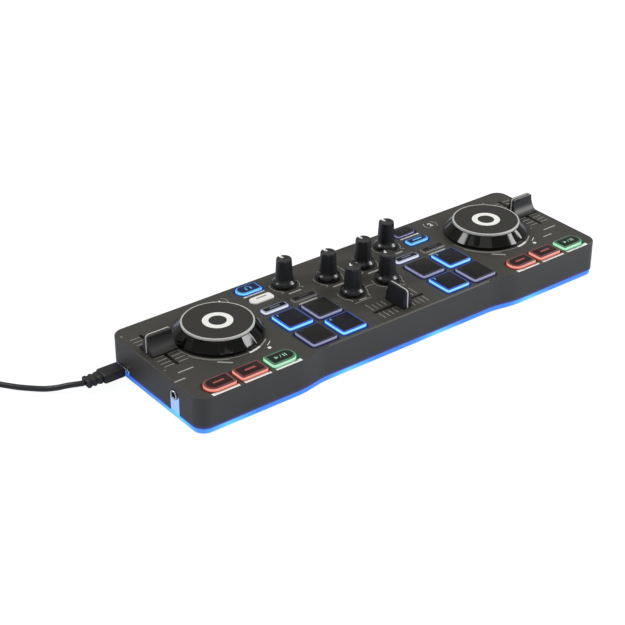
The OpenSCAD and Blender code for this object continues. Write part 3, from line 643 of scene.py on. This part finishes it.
slot_of = {part["node"]: part["material_slot"] for part in frame["record"]["subparts"]}
GLASS_OF_SLOT = {"lit_blue": "blue", "lit_white": "white", "lit_red": "red", "lit_green": "green",
                 "key_unlit": "off", "key_grey": "pale"}
buttons = [n for n in nodes if n.split("_")[0] in ("left", "right")]
for name in buttons:
    glass = GLASS_OF_SLOT[slot_of[name]]
    # The unlit mode button gets the grey glass, whose glow is painted light.
    if name.endswith("mode_2"):
        glass = "grey"
    elif name in ("left_listen", "right_shift"):
        glass = "sky"
    make_button(name, glass)
print("buttons:", len(buttons))

# %% [markdown]
# ## Light spilled on the deck
#
# Round a lit button the deck catches a deep blue, red or green shimmer that dies away within two millimetres.
# It is modelled as a flat sheet a hair above the deck: a ring drawn from the button's own outline, with a
# colour attribute that is one at the button and nothing at the ring's outer edge.

# %% Spilled light
SPILL = 1.8
SPILL_RISE = 0.03
KEY_GAP = 0.25
FADE_POWER = 1.3


def spill_light(name, colour, strength):
    """A glow that fades with the ring's attribute."""
    material, tree = blank_material(name)
    tree.nodes.remove(tree.nodes["Principled BSDF"])
    fade = add_node(tree, "ShaderNodeAttribute", attribute_name="fade").outputs["Fac"]
    soft = add_node(tree, "ShaderNodeMath", {0: fade, 1: FADE_POWER}, operation="POWER").outputs[0]
    clear = add_node(tree, "ShaderNodeBsdfTransparent")
    shine = add_node(tree, "ShaderNodeEmission", {"Color": colour, "Strength": strength})
    mix_shaders(tree, soft, clear.outputs["BSDF"], shine.outputs["Emission"])
    return material


SPILLS = {glass: spill_light(f"spill_{glass}", ink(*colour), strength) for glass, colour, strength in (
    ("blue", (34, 62, 176), 0.8), ("white", (84, 92, 150), 0.7), ("red", (150, 52, 36), 0.4),
    ("green", (40, 130, 78), 0.7), ("off", (44, 50, 110), 0.5))}


def make_spill(name, glass):
    """The ring of spilled light round one button."""
    bm = button_outline(name, DECK_Z + SPILL_RISE * MM, grow=SPILL + KEY_GAP)
    middle = list(bm.faces)
    bmesh.ops.inset_region(bm, faces=middle, thickness=SPILL * MM, use_boundary=True, use_even_offset=True)
    outer = {v for e in bm.edges if e.is_boundary for v in e.verts}
    bmesh.ops.delete(bm, geom=middle, context="FACES")
    fade = bm.loops.layers.float_color.new("fade")
    for face in bm.faces:
        for corner in face.loops:
            level = 0.0 if corner.vert in outer else 1.0
            corner[fade] = (level, level, level, 1.0)
    finish_piece(name + "_spill", bm, [SPILLS[glass]], "root", smooth=0)


for name in buttons:
    glass = GLASS_OF_SLOT[slot_of[name]]
    if glass in SPILLS and not name.endswith("mode_2"):
        make_spill(name, glass)
print("spilled light round the lit buttons is in place")

# %% [markdown]
# ## Jog wheels
#
# A jog wheel is a gloss black moulding with finger scoops, and on it a flat disc, painted to match the case,
# with a bright turned edge and a printed ring. The disc is turned work, so its profile is drawn once and
# spun round the axis; the paint, the bright edge and the print are told apart by their radius.

# %% Disc finishes
RING_PITCH = 0.35
RING_DEPTH = 0.003


def turned_rings(material, centre):
    """Adds the fine circles that turning leaves, round a centre."""
    tree = material.node_tree
    place = add_node(tree, "ShaderNodeTexCoord").outputs["Object"]
    centred = add_node(tree, "ShaderNodeMapping", {"Vector": place, "Location": (-centre[0], -centre[1], 0)})
    rings = add_node(tree, "ShaderNodeTexWave", {
        "Vector": centred.outputs["Vector"], "Scale": 0.05 / (RING_PITCH * MM), "Distortion": 0.4},
        wave_type="RINGS", rings_direction="Z")
    surface = tree.nodes["Principled BSDF"]
    grain = surface.inputs["Normal"].links[0].from_socket
    bump = add_node(tree, "ShaderNodeBump", {
        "Height": rings.outputs["Color"], "Normal": grain, "Strength": 0.4, "Distance": RING_DEPTH * MM})
    feed(surface, {"Normal": bump.outputs["Normal"]})


gloss_black = finish("gloss_black", ink(7, 7, 5), 0.1, grain=1.2, depth=0.0015, specular=0.24)
print_and_highlight_white = finish("print_and_highlight_white", ink(236, 236, 231), 0.5, grain=0.2, depth=0.004, drift=0.04)
print_and_highlight_grey = finish("print_and_highlight_grey", ink(164, 163, 157), 0.5, grain=0.2, depth=0.004, drift=0.05)
JOG_EDGE_WIDTH = 1.0
JOG_RING = (5.2, 8.8)

# %% Jog discs
def spin_profile(profile, centre, steps=96):
    """Turns a profile of (radius, height) in millimetres round an upright axis through centre."""
    bm = bmesh.new()
    corners = [bm.verts.new((radius * MM, 0, height * MM)) for radius, height in profile]
    edges = [bm.edges.new(pair) for pair in zip(corners, corners[1:])]
    bmesh.ops.spin(bm, geom=corners + edges, cent=(0, 0, 0), axis=(0, 0, 1), angle=math.tau, steps=steps,
                   use_merge=True, use_duplicate=False)
    bmesh.ops.translate(bm, verts=bm.verts, vec=(centre[0], centre[1], 0))
    return bm

DISC_SUNK = 0.08
for side in ("left", "right"):
    name = f"jog_disc_{side}"
    low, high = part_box(name)
    centre = middle_of(name)
    edge = (high.x - low.x) / 2 / MM
    foot, top = low.z / MM, high.z / MM
    plate = top - DISC_SUNK
    profile = [(0, foot), (edge - 0.3, foot), (edge, foot + 0.3), (edge, top - 0.4),
               (edge - 0.12, top - 0.12), (edge - 0.4, top), (edge - JOG_EDGE_WIDTH, top),
               (edge - JOG_EDGE_WIDTH - 0.1, plate), (JOG_RING[1], plate), (JOG_RING[0], plate), (0, plate)]
    bm = spin_profile(profile, centre)
    for face in bm.faces:
        spot = face.calc_center_median()
        radius = math.hypot(spot.x - centre[0], spot.y - centre[1]) / MM
        underside = spot.z / MM < top - 0.3 and radius < edge - 0.2
        if radius > edge - JOG_EDGE_WIDTH and not underside:
            face.material_index = 1
        elif JOG_RING[0] < radius < JOG_RING[1] and not underside:
            face.material_index = 2
    paint = finish(f"disc_paint_{side}", ink(47, 46, 43), 0.55, depth=0.012, specular=0.3)
    bright = finish(f"disc_edge_{side}", ink(206, 206, 201), 0.35, metallic=0.3, depth=0.004)
    for skin in (paint, bright):
        turned_rings(skin, centre)
    disc = finish_piece(f"jog_top_{side}", bm, [paint, bright, print_and_highlight_white], f"jog_{side}")
    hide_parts(name)
print("jog discs ready")

# %% Jog wheel bodies
SCOOPS = 10
FIRST_SCOOP = math.radians(-6)
SCOOP_DEPTH = 0.36
SCOOP_BALL = 80
FOOT_EDGE = 1.6
FLANK_ROWS = 14


def press_scoops(bm, centre, slope_foot, slope_top):
    """Presses shallow finger scoops, each part of a large ball, into the sloping flank."""
    lean = Vector((slope_foot[0] - slope_top[0], slope_top[1] - slope_foot[1]))
    along, out, up = lean.length, lean.y / lean.length, lean.x / lean.length
    round_r = (slope_foot[0] + slope_top[0]) / 2
    for corner in bm.verts:
        spot = corner.co / MM - Vector((*centre, 0))
        angle = math.atan2(spot.y, spot.x)
        share = (spot.z - slope_foot[1]) / (slope_top[1] - slope_foot[1])
        if not 0 <= share <= 1 or math.hypot(spot.x, spot.y) < slope_top[0] - 0.4:
            continue
        pitch = math.tau / SCOOPS
        off = (angle - FIRST_SCOOP + pitch / 2) % pitch - pitch / 2
        aside, rise = round_r * off, (share - 0.5) * along
        deep = SCOOP_DEPTH - aside * aside / 2 * (1 / round_r + 1 / SCOOP_BALL) - rise * rise / 2 / SCOOP_BALL
        if deep > 0:
            corner.co -= Vector((out * math.cos(angle), out * math.sin(angle), up)) * deep * MM


for side in ("left", "right"):
    name = f"jog_wheel_{side}"
    low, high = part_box(name)
    disc_low, disc_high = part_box(f"jog_disc_{side}")
    centre = middle_of(name)
    outer = (high.x - low.x) / 2 / MM
    inner = (disc_high.x - disc_low.x) / 2 / MM + 0.3
    foot, seat = DECK_Z / MM + 0.4, high.z / MM
    rise = seat - foot - FOOT_EDGE
    profile = [(inner - 2, foot + 0.1), (outer - 0.4, foot), (outer, foot + 0.4)]
    profile += [(outer + (inner - outer) * row / FLANK_ROWS, foot + FOOT_EDGE + rise * row / FLANK_ROWS)
                for row in range(FLANK_ROWS + 1)]
    bm = spin_profile(profile + [(inner - 0.3, seat), (0, seat)], centre, steps=360)
    press_scoops(bm, (centre[0] / MM, centre[1] / MM), (outer, foot + FOOT_EDGE), (inner, seat))
    wheel = finish_piece(f"jog_body_{side}", bm, [gloss_black], f"jog_{side}")
    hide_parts(name)
print("jog wheel bodies:", len(wheel.data.polygons), "faces each")

# %% [markdown]
# ## Knobs
#
# A knob is one moulding: a bell-shaped skirt, a satin barrel and a crown with a pointer groove. The crown
# is painted a little lighter, a painted highlight where the knob's top catches the light. It is turned work,
# so
# a profile is spun and the groove is cut away with a block and painted white. The finish follows the height:
# gloss on the bell, satin on the barrel, and the lighter crown.

# %% Knob finish
def by_height(material, low, high, colours, roughness):
    """Colour and roughness along the height: stops of (share of low..high, value)."""
    tree = material.node_tree
    surface = tree.nodes["Principled BSDF"]
    height = spread(tree, object_axes(tree)["Z"], low, high)
    plain = surface.inputs["Base Color"].links[0].from_socket
    blend = add_node(tree, "ShaderNodeMix", {"Factor": 1.0, "A": plain, "B": ramp(tree, height, colours)},
                     data_type="RGBA", blend_type="MULTIPLY")
    rough = ramp(tree, height, [(share, (value, value, value, 1)) for share, value in roughness])
    feed(surface, {"Base Color": blend.outputs["Result"], "Roughness": rough})


deck = DECK_Z / MM
knob_finish = finish("knob_moulding", (0.9, 0.9, 0.9), 0.4, grain=0.4, depth=0.006, drift=0.08)
# Painted highlight: the crown colour is lighter than the barrel's, standing in for the light on the knob's
# top.
dark, satin, crown = ink(9, 9, 9), ink(14, 14, 15), ink(32, 31, 29)
by_height(knob_finish, deck, deck + 18,
          [(0.0, dark), (0.24, dark), (0.28, satin), (0.93, satin), (0.95, crown), (1.0, crown)],
          [(0.0, 0.27), (0.29, 0.27), (0.33, 0.5), (0.9, 0.5), (0.93, 0.3), (1.0, 0.36)])
print("knob finish ready")

# %% Knob shape
GROOVE_W = 1.7
GROOVE_DEPTH = 1.6
BELL = ((0.4, 0), (0, 0.4), (0, 1.1), (0.1, 1.7), (0.3, 2.2), (0.65, 2.7), (1.1, 3.15), (1.5, 3.55),
        (1.85, 4), (2.1, 4.5), (2.25, 5.1), (2.35, 5.8))
CROWN = ((4.65, 0.7), (4.55, 0.3), (4.3, 0.07), (4, 0), (3.7, 0.05), (3.3, 0.25), (0, 0.3))


def cut_away(bm, tool):
    """Takes the form in tool away from the form in bm and returns what is left."""
    holders = []
    for form in (bm, tool):
        bmesh.ops.remove_doubles(form, verts=form.verts, dist=1e-6)
        bmesh.ops.recalc_face_normals(form, faces=form.faces)
        holders.append(in_scene("form", as_mesh("form", form)))
    cut = holders[0].modifiers.new("cut", "BOOLEAN")
    cut.operation = "DIFFERENCE"
    cut.solver = "EXACT"
    cut.object = holders[1]
    whole = holders[0].evaluated_get(bpy.context.evaluated_depsgraph_get())
    left = bpy.data.meshes.new_from_object(whole)
    result = bmesh.new()
    result.from_mesh(left)
    for mesh in [holder.data for holder in holders] + [left]:
        bpy.data.meshes.remove(mesh)
    return result


def make_knob(name):
    """The bell, barrel and crown, with a pointer groove at the back."""
    low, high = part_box(name)
    x, y = [v / MM for v in middle_of(name)]
    foot, top = low.z / MM, high.z / MM
    skirt = (high.x - low.x) / 2 / MM - 0.4
    profile = [(0, foot)] + [(skirt - inward, foot + rise) for inward, rise in BELL]
    profile += [(radius, top - drop) for radius, drop in CROWN]
    groove = bmesh.new()
    add_box(groove, (GROOVE_W, 6, 2 * GROOVE_DEPTH), (x, y + 4.2, top))
    bm = cut_away(spin_profile(profile, middle_of(name), steps=72), groove)
    for face in bm.faces:
        spot = face.calc_center_median() / MM
        in_groove = abs(spot.x - x) < GROOVE_W / 2 + 0.01 and spot.y - y > 1.15
        if in_groove and top - 1.7 < spot.z < top - 0.35:
            face.material_index = 1
    piece = finish_piece(name + "_turned", bm, [knob_finish, print_and_highlight_white], name, smooth=32)
    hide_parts(name)


knobs = [n for n in nodes if "_knob" in n and not n.endswith("_shaft")]
for knob in knobs:
    make_knob(knob)
print("knobs:", knobs)

# %% [markdown]
# ## Fader caps
#
# Each tempo cap is satin black with hollowed faces for the finger; the crossfader's cap is a plainer upright
# wedge. A white blade is moulded into each ridge and shows as a fine line along the top and down both ends.
# The blade is a thin slab with the cap's own rounded ends, standing a hair proud.

# %% Fader caps
blade_white = finish("blade_white", ink(188, 187, 182), 0.5, grain=0.2, depth=0.004, drift=0.04)
caps = {"crossfader_cap": "crossfader", "tempo_cap_left": "tempo_left", "tempo_cap_right": "tempo_right"}
dress(finish("cap_satin", ink(33, 33, 32), 0.42, grain=0.3, depth=0.01, specular=0.4), *caps)
BLADE_T = 0.85
BLADE_PROUD = 0.05
CAP_END_R = 2.0


def reach(edge):
    """How far an edge goes along each axis."""
    return edge.verts[0].co - edge.verts[1].co


def make_blade(cap, body):
    """The white blade in a cap's ridge."""
    low, high = [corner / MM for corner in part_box(cap)]
    size = high - low
    height = size.z - 0.3
    bm = bmesh.new()
    add_box(bm, (max(size.x, size.y) + 2 * BLADE_PROUD, BLADE_T, height), (0, 0, 0))
    ends = [e for e in bm.edges if all(v.co.z > 0 for v in e.verts) and abs(reach(e).x) < 1e-9]
    soften(bm, ends, CAP_END_R + BLADE_PROUD, 8)
    if size.y > size.x:
        bmesh.ops.rotate(bm, verts=bm.verts, matrix=Matrix.Rotation(math.pi / 2, 3, "Z"))
    bmesh.ops.translate(bm, verts=bm.verts, vec=(*middle_of(cap), (high.z + BLADE_PROUD - height / 2) * MM))
    finish_piece(body + "_blade", bm, [blade_white], body)


for cap, body in caps.items():
    make_blade(cap, body)
print("fader blades:", len(caps))

# %% Crossfader wedge
WEDGE_FOOT = 7.6
WEDGE_RIDGE = 3.0
low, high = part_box("crossfader_cap")
size = (high - low) / MM
bm = bmesh.new()
ridge = [v for v in add_box(bm, (WEDGE_FOOT, size.y, size.z), (0, 0, 0)) if v.co.z > 0]
bmesh.ops.scale(bm, verts=ridge, vec=(WEDGE_RIDGE / WEDGE_FOOT, 1, 1))
soften(bm, [e for e in bm.edges if all(v in ridge for v in e.verts) and abs(reach(e).y) < 1e-9], CAP_END_R, 8)
soften(bm, [e for e in bm.edges if e.calc_face_angle(0) > math.radians(50)], 0.35, 3)
bmesh.ops.translate(bm, verts=bm.verts, vec=(low + high) / 2)
wedge_finish = finish("wedge_satin", ink(24, 24, 28), 0.5, grain=0.3, depth=0.01, specular=0.3)
wedge = finish_piece("crossfader_wedge", bm, [wedge_finish], "crossfader")
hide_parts("crossfader_cap")
print("crossfader wedge in place")

# %% [markdown]
# ## Plugs, jack ring and cable tie
#
# The plug in the case is a moulded grip with a slimmer, grooved strain relief, so the cable can bend without
# kinking. The plug for the computer has a folded metal shell round a plastic tongue. The headphone jack is
# framed by a plated ring, and a strap holds the stowed turns together.

# %% Plug helpers
def add_block(bm, centre, size, round_r, index, segments=4):
    """A block with rounded edges, all in millimetres, in the material of that index."""
    before = set(bm.faces)
    made = add_box(bm, size, centre)
    soften(bm, list({e for v in made for e in v.link_edges}), round_r, segments)
    for face in set(bm.faces) - before:
        face.material_index = index


def add_turned(bm, profile, centre, turn, index):
    """Turns a profile of (radius, length along the axis) and lays its axis along a rotation."""
    part = spin_profile(profile, (0, 0), steps=32)
    bmesh.ops.transform(part, matrix=Matrix.Translation(Vector(centre) * MM) @ turn, verts=part.verts)
    for face in part.faces:
        face.material_index = index
    loose = as_mesh("part", part)
    bm.from_mesh(loose)
    bpy.data.meshes.remove(loose)


def ribbed(radius, groove, start, length, ribs):
    """A profile that starts and ends on the axis, with grooves along it."""
    profile = [(0, start), (radius, start)]
    pitch = length / (ribs + 1)
    for rib in range(ribs):
        at = start + pitch * (rib + 1)
        profile += [(radius, at - 0.35), (groove, at - 0.2), (groove, at + 0.2), (radius, at + 0.35)]
    end = start + length
    return profile + [(radius - 0.3, end - 0.3), (radius - 0.6, end), (0, end)]


# %% Plug in the case
GRIP_LENGTH = 13.8
RELIEF_LENGTH = 10.3
low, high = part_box("device_plug")
plug_y, plug_z = (low.y + high.y) / 2 / MM, (low.z + high.z) / 2 / MM
grip_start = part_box("top_case")[0].x / MM - 1.2
relief_start = grip_start - GRIP_LENGTH
bm = bmesh.new()
add_block(bm, (grip_start - GRIP_LENGTH / 2, plug_y, plug_z), (GRIP_LENGTH, 10.4, 5.6), 1.3, 0)
add_block(bm, (relief_start - RELIEF_LENGTH / 2 + 0.5, plug_y, plug_z), (RELIEF_LENGTH, 7.2, 4.1), 1.2, 0)
for collar, length in ((1.4, 3.2), (5.0, 2.6), (8.5, 2.9)):
    add_block(bm, (relief_start - collar, plug_y, plug_z), (length, 8, 4.8), 1.1, 0)
add_block(bm, (grip_start + 4.5, plug_y, plug_z), (9.4, 7.6, 3), 0.3, 1, segments=2)
case_plug = finish_piece("case_plug", bm, [plug_skin, nickel], "root")
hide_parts("device_plug")
print("case plug length in mm:", round(case_plug.dimensions.x / MM, 1))

# %% Plug for the computer
low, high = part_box("computer_plug")
far_x, far_z = (low.x + high.x) / 2 / MM, (low.z + high.z) / 2 / MM
far_y = high.y / MM
bm = bmesh.new()
add_turned(bm, ribbed(2.6, 2.0, 0, 4.6, 2), (far_x, far_y, far_z), Matrix.Rotation(math.pi / 2, 4, "X"), 0)
add_block(bm, (far_x, far_y - 14, far_z), (15.5, 20, 8), 1.9, 0)
for shift in (-2.4, 0, 2.4):
    add_block(bm, (far_x, far_y - 14 + shift, far_z + 3.95), (8, 1, 0.5), 0.2, 0, segments=2)
add_block(bm, (far_x, far_y - 29, far_z - 0.9), (11, 13.4, 1.7), 0.2, 2, segments=2)
shell = add_box(bm, (12, 12.6, 4.5), (far_x, far_y - 29.7, far_z))
walls = list({f for v in shell for f in v.link_faces})
bmesh.ops.delete(bm, geom=[f for f in walls if abs(f.normal.y) > 0.9], context="FACES_ONLY")
walls = [f for f in walls if f.is_valid]
bmesh.ops.recalc_face_normals(bm, faces=walls)
thick = faces_in(bmesh.ops.solidify(bm, geom=walls, thickness=0.35 * MM))
for face in set(walls) | set(thick):
    if face.is_valid:
        face.material_index = 1
for shift in (-2.6, 2.6):
    add_block(bm, (far_x + shift, far_y - 30, far_z + 2.24), (2.2, 2.2, 0.1), 0.03, 3, segments=1)
tongue_white = finish("tongue_white", ink(205, 205, 200), 0.5, grain=0.3, depth=0.005)
far_skins = [plug_skin, nickel, tongue_white, gloss_black]
far_end = finish_piece("computer_end", bm, far_skins, "root")
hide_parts("computer_plug")
print("computer plug length in mm:", round(far_end.dimensions.y / MM, 1))

# %% Jack ring
low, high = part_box("phones_jack")
jack_y, jack_z = (low.y + high.y) / 2 / MM, high.z / MM - 3
bm = bmesh.new()
circle = bmesh.ops.create_circle(bm, cap_ends=False, radius=0.5 * MM, segments=12)["verts"]
bmesh.ops.translate(bm, verts=circle, vec=(0, 2.45 * MM, 0))
bmesh.ops.spin(bm, geom=circle + bm.edges[:], cent=(0, 0, 0), axis=(1, 0, 0), angle=math.tau, steps=40,
               use_merge=True, use_duplicate=False)
bmesh.ops.translate(bm, verts=bm.verts, vec=(low.x, jack_y * MM, jack_z * MM))
finish_piece("jack_ring", bm, [nickel], "root", smooth=60)
print("jack ring in place")

# %% Cable tie
TIE_AT = (19, 0, 3.6)
TIE_TURN = math.radians(112)
bm = bmesh.new()
add_box(bm, (14.4, 5, 7.0), TIE_AT)
bmesh.ops.delete(bm, geom=[f for f in bm.faces if abs(f.normal.y) > 0.9], context="FACES_ONLY")
soften(bm, [e for e in bm.edges if abs(reach(e).y) > 4 * MM], 1.6, 6)
bmesh.ops.solidify(bm, geom=bm.faces[:], thickness=0.4 * MM)
add_block(bm, (19.6, 0, 7.25), (5.2, 5.4, 0.7), 0.2, 0, segments=2)
to_coil = Matrix.Translation((COIL_CENTRE[0] * MM, COIL_CENTRE[1] * MM, 0))
bmesh.ops.transform(bm, matrix=to_coil @ Matrix.Rotation(TIE_TURN, 4, "Z"), verts=bm.verts)
tie_skin = finish("tie_skin", ink(38, 38, 40), 0.75, grain=0.7, depth=0.04, sheen=0.2)
cable_tie = finish_piece("cable_tie", bm, [tie_skin], "root", smooth=40)
print("cable tie in place")

# %% [markdown]
# ## Printed marks, and a painted highlight
#
# The deck carries screen-printed marks: dashes in front of the transport buttons, scale arcs round the
# knobs, ticks beside the faders and short plain strips where a legend would stand. Screen print has a
# thickness of its own, so the marks are modelled as plates three hundredths of a millimetre thick. A bright
# arc just outside each jog wheel, white and then grey, is a painted highlight laid down in the same way.

# %% Print helpers
def add_strip(bm, x, y, width, depth, turn=0.0):
    """A printed rectangle on the deck, centred at x, y in millimetres."""
    add_bar(bm, x, y, DECK_Z / MM, width, depth, turn)


def add_strips(bm, x, y, strips):
    """Strips of (right, up, width, depth, turn), laid out from x, y."""
    for right, up, width, depth, turn in strips:
        add_strip(bm, x + right, y + up, width, depth, turn)


def add_arc(bm, x, y, radius, width, start, end):
    """An arc on the deck round x, y, from start to end degrees anticlockwise from the right: print, and also
    the painted highlight by the jog wheels.
    """
    made = bmesh.ops.create_grid(bm, x_segments=1, y_segments=1, size=0.5)["verts"]
    bmesh.ops.scale(bm, verts=made, vec=(width * MM, PRINT_T * MM, 1))
    bmesh.ops.rotate(bm, verts=made, matrix=Matrix.Rotation(math.pi / 2, 3, "X"))
    bmesh.ops.translate(bm, verts=made, vec=(radius * MM, 0, 0))
    bmesh.ops.rotate(bm, verts=made, matrix=Matrix.Rotation(math.radians(start), 3, "Z"))
    face = made[0].link_faces[0]
    steps = max(4, int((end - start) / 6))
    before = set(bm.verts)
    bmesh.ops.spin(bm, geom=[face] + list(face.edges) + made, cent=(0, 0, 0), axis=(0, 0, 1),
                   angle=math.radians(end - start), steps=steps, use_merge=False, use_duplicate=False)
    swept = [v for v in bm.verts if v not in before] + made
    bmesh.ops.translate(bm, verts=swept, vec=(x * MM, y * MM, DECK_Z + PRINT_T / 2 * MM))


# %% White marks
HAIR = 0.35
DECK_NUMBER = (81, 34.6)


def plan_of(name):
    """A part seen from above, in millimetres: its middle x and y, its front y and its width."""
    low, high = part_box(name)
    return (low.x + high.x) / 2 / MM, (low.y + high.y) / 2 / MM, low.y / MM, (high.x - low.x) / MM


white_marks_and_highlight = bmesh.new()
scales = bmesh.new()
for side, way in (("left", -1), ("right", 1)):
    for kind in TRANSPORT:
        x, y, front, width = plan_of(f"{side}_{kind}")
        add_strip(white_marks_and_highlight, x, front - 1.5, width - 2 * KEY_SIDE_GAP, 2.3)
    x, y, front, width = plan_of(f"{side}_mode_2")
    add_strip(scales, x - 0.5, front - 2.0, 13, 1.3)
    x, y, front, width = plan_of(f"{side}_listen")
    add_strip(white_marks_and_highlight, x, front - 1.7, 14.8, 1.1)
    x, y, front, width = plan_of(f"jog_wheel_{side}")
    # Painted highlight: this bright white arc and the grey one after it, just outside the wheel, stand in for
    # the highlight on the gloss round the wheel; the other arcs are print.
    add_arc(white_marks_and_highlight, x, y, width / 2 + 1.3, 1.5, -86, -68)
    for beyond, thick, start, end in ((1.3, 0.9, -68, -50), (1.3, 0.3, -178, -88), (2.2, 0.3, -160, -112)):
        add_arc(scales, x, y, width / 2 + beyond, thick, start, end)
    add_strips(white_marks_and_highlight, x, y, ((16.3, -25.9, 4.75, 0.4, 34), (13.85, -30.0, 1.9, 1.9, 20)))
    add_strip(scales, x - 14.5, y - 27.6, 8.5, 1.1, -43)
    x, y = way * DECK_NUMBER[0], DECK_NUMBER[1]
    add_digit(white_marks_and_highlight, "1" if way < 0 else "2", x, y, DECK_Z / MM, 5.2, bold=0.12)
    for start in (125, -55):
        add_arc(scales, x, y, 4.4, 0.4, start, start + 110)
print("white mark corners:", len(white_marks_and_highlight.verts))

# %% Knob scales
ARC_R = 9.1
ARC_LINE = 0.36
TICK_R = 9.9
LEVEL_STRIPS = ((-0.8, -10.9, 12.5, HAIR, 0), (0.2, -9.4, 5.5, 0.9, 0), (6.5, -6.9, 4.4, HAIR, 67))
TONE_STRIPS = ((0, -10.6, 9, 1.1, 0), (-7.4, -8.2, 1.3, HAIR, 0), (7.4, -8.2, 1.3, HAIR, 0),
               (7.4, -8.2, HAIR, 1.3, 0))
for knob in knobs:
    x, y, front, width = plan_of(knob)
    for start, end in ((150, 228), (-48, 22)):
        add_arc(scales, x, y, ARC_R, ARC_LINE, start, end)
    for angle in (-130, -50):
        turn = math.radians(angle)
        add_strip(scales, x + TICK_R * math.cos(turn), y + TICK_R * math.sin(turn), 1.6, ARC_LINE, angle)
    add_strips(scales, x, y, LEVEL_STRIPS if knob.startswith("level") else TONE_STRIPS)
add_strips(scales, 0, 0, ((0, 24, HAIR, 8, 0), (-2.4, -2.9, 4.4, HAIR, 14), (1.8, -2.7, 4.4, HAIR, -9)))
print("scales round", len(knobs), "knobs")

# %% Fader scales
CROSS_PITCH = 3.28
TEMPO_PITCH = 3.5
x, y, front, width = plan_of("crossfader_cap")
for step in range(-5, 6):
    ends = abs(step) == 5
    add_strip(scales, x + CROSS_PITCH * step, y + (6.3 if ends else 5.4), HAIR, 8 if ends else 5.8)
    add_strip(scales, x + CROSS_PITCH * step, y - 5.0, HAIR, 6.2 if abs(step) > 3 else 5.4)
for side in ("left", "right"):
    x, y, front, width = plan_of(f"tempo_cap_{side}")
    for step in range(-5, 6):
        for shift in (-4.6, 4.8):
            add_strip(scales, x + shift, y + TEMPO_PITCH * step, 6.2, HAIR)
    add_strips(scales, x, y, ((0, -26.8, 10, 0.9, 0), (-8.3, -33.5, 7, 0.9, 0), (-9.4, -20.5, 1.5, HAIR, 0),
                              (-9.4, 24, 1.6, HAIR, 0), (-9.4, 24, HAIR, 1.6, 0)))
print("print corners in all:", len(white_marks_and_highlight.verts) + len(scales.verts))

# %% Lay down the print and the painted highlight
finish_piece("deck_print_and_highlight", white_marks_and_highlight, [print_and_highlight_white], "root", smooth=0)
finish_piece("deck_scales_and_highlight", scales, [print_and_highlight_grey], "root", smooth=0)

# %% Finish
bpy.context.view_layer.update()
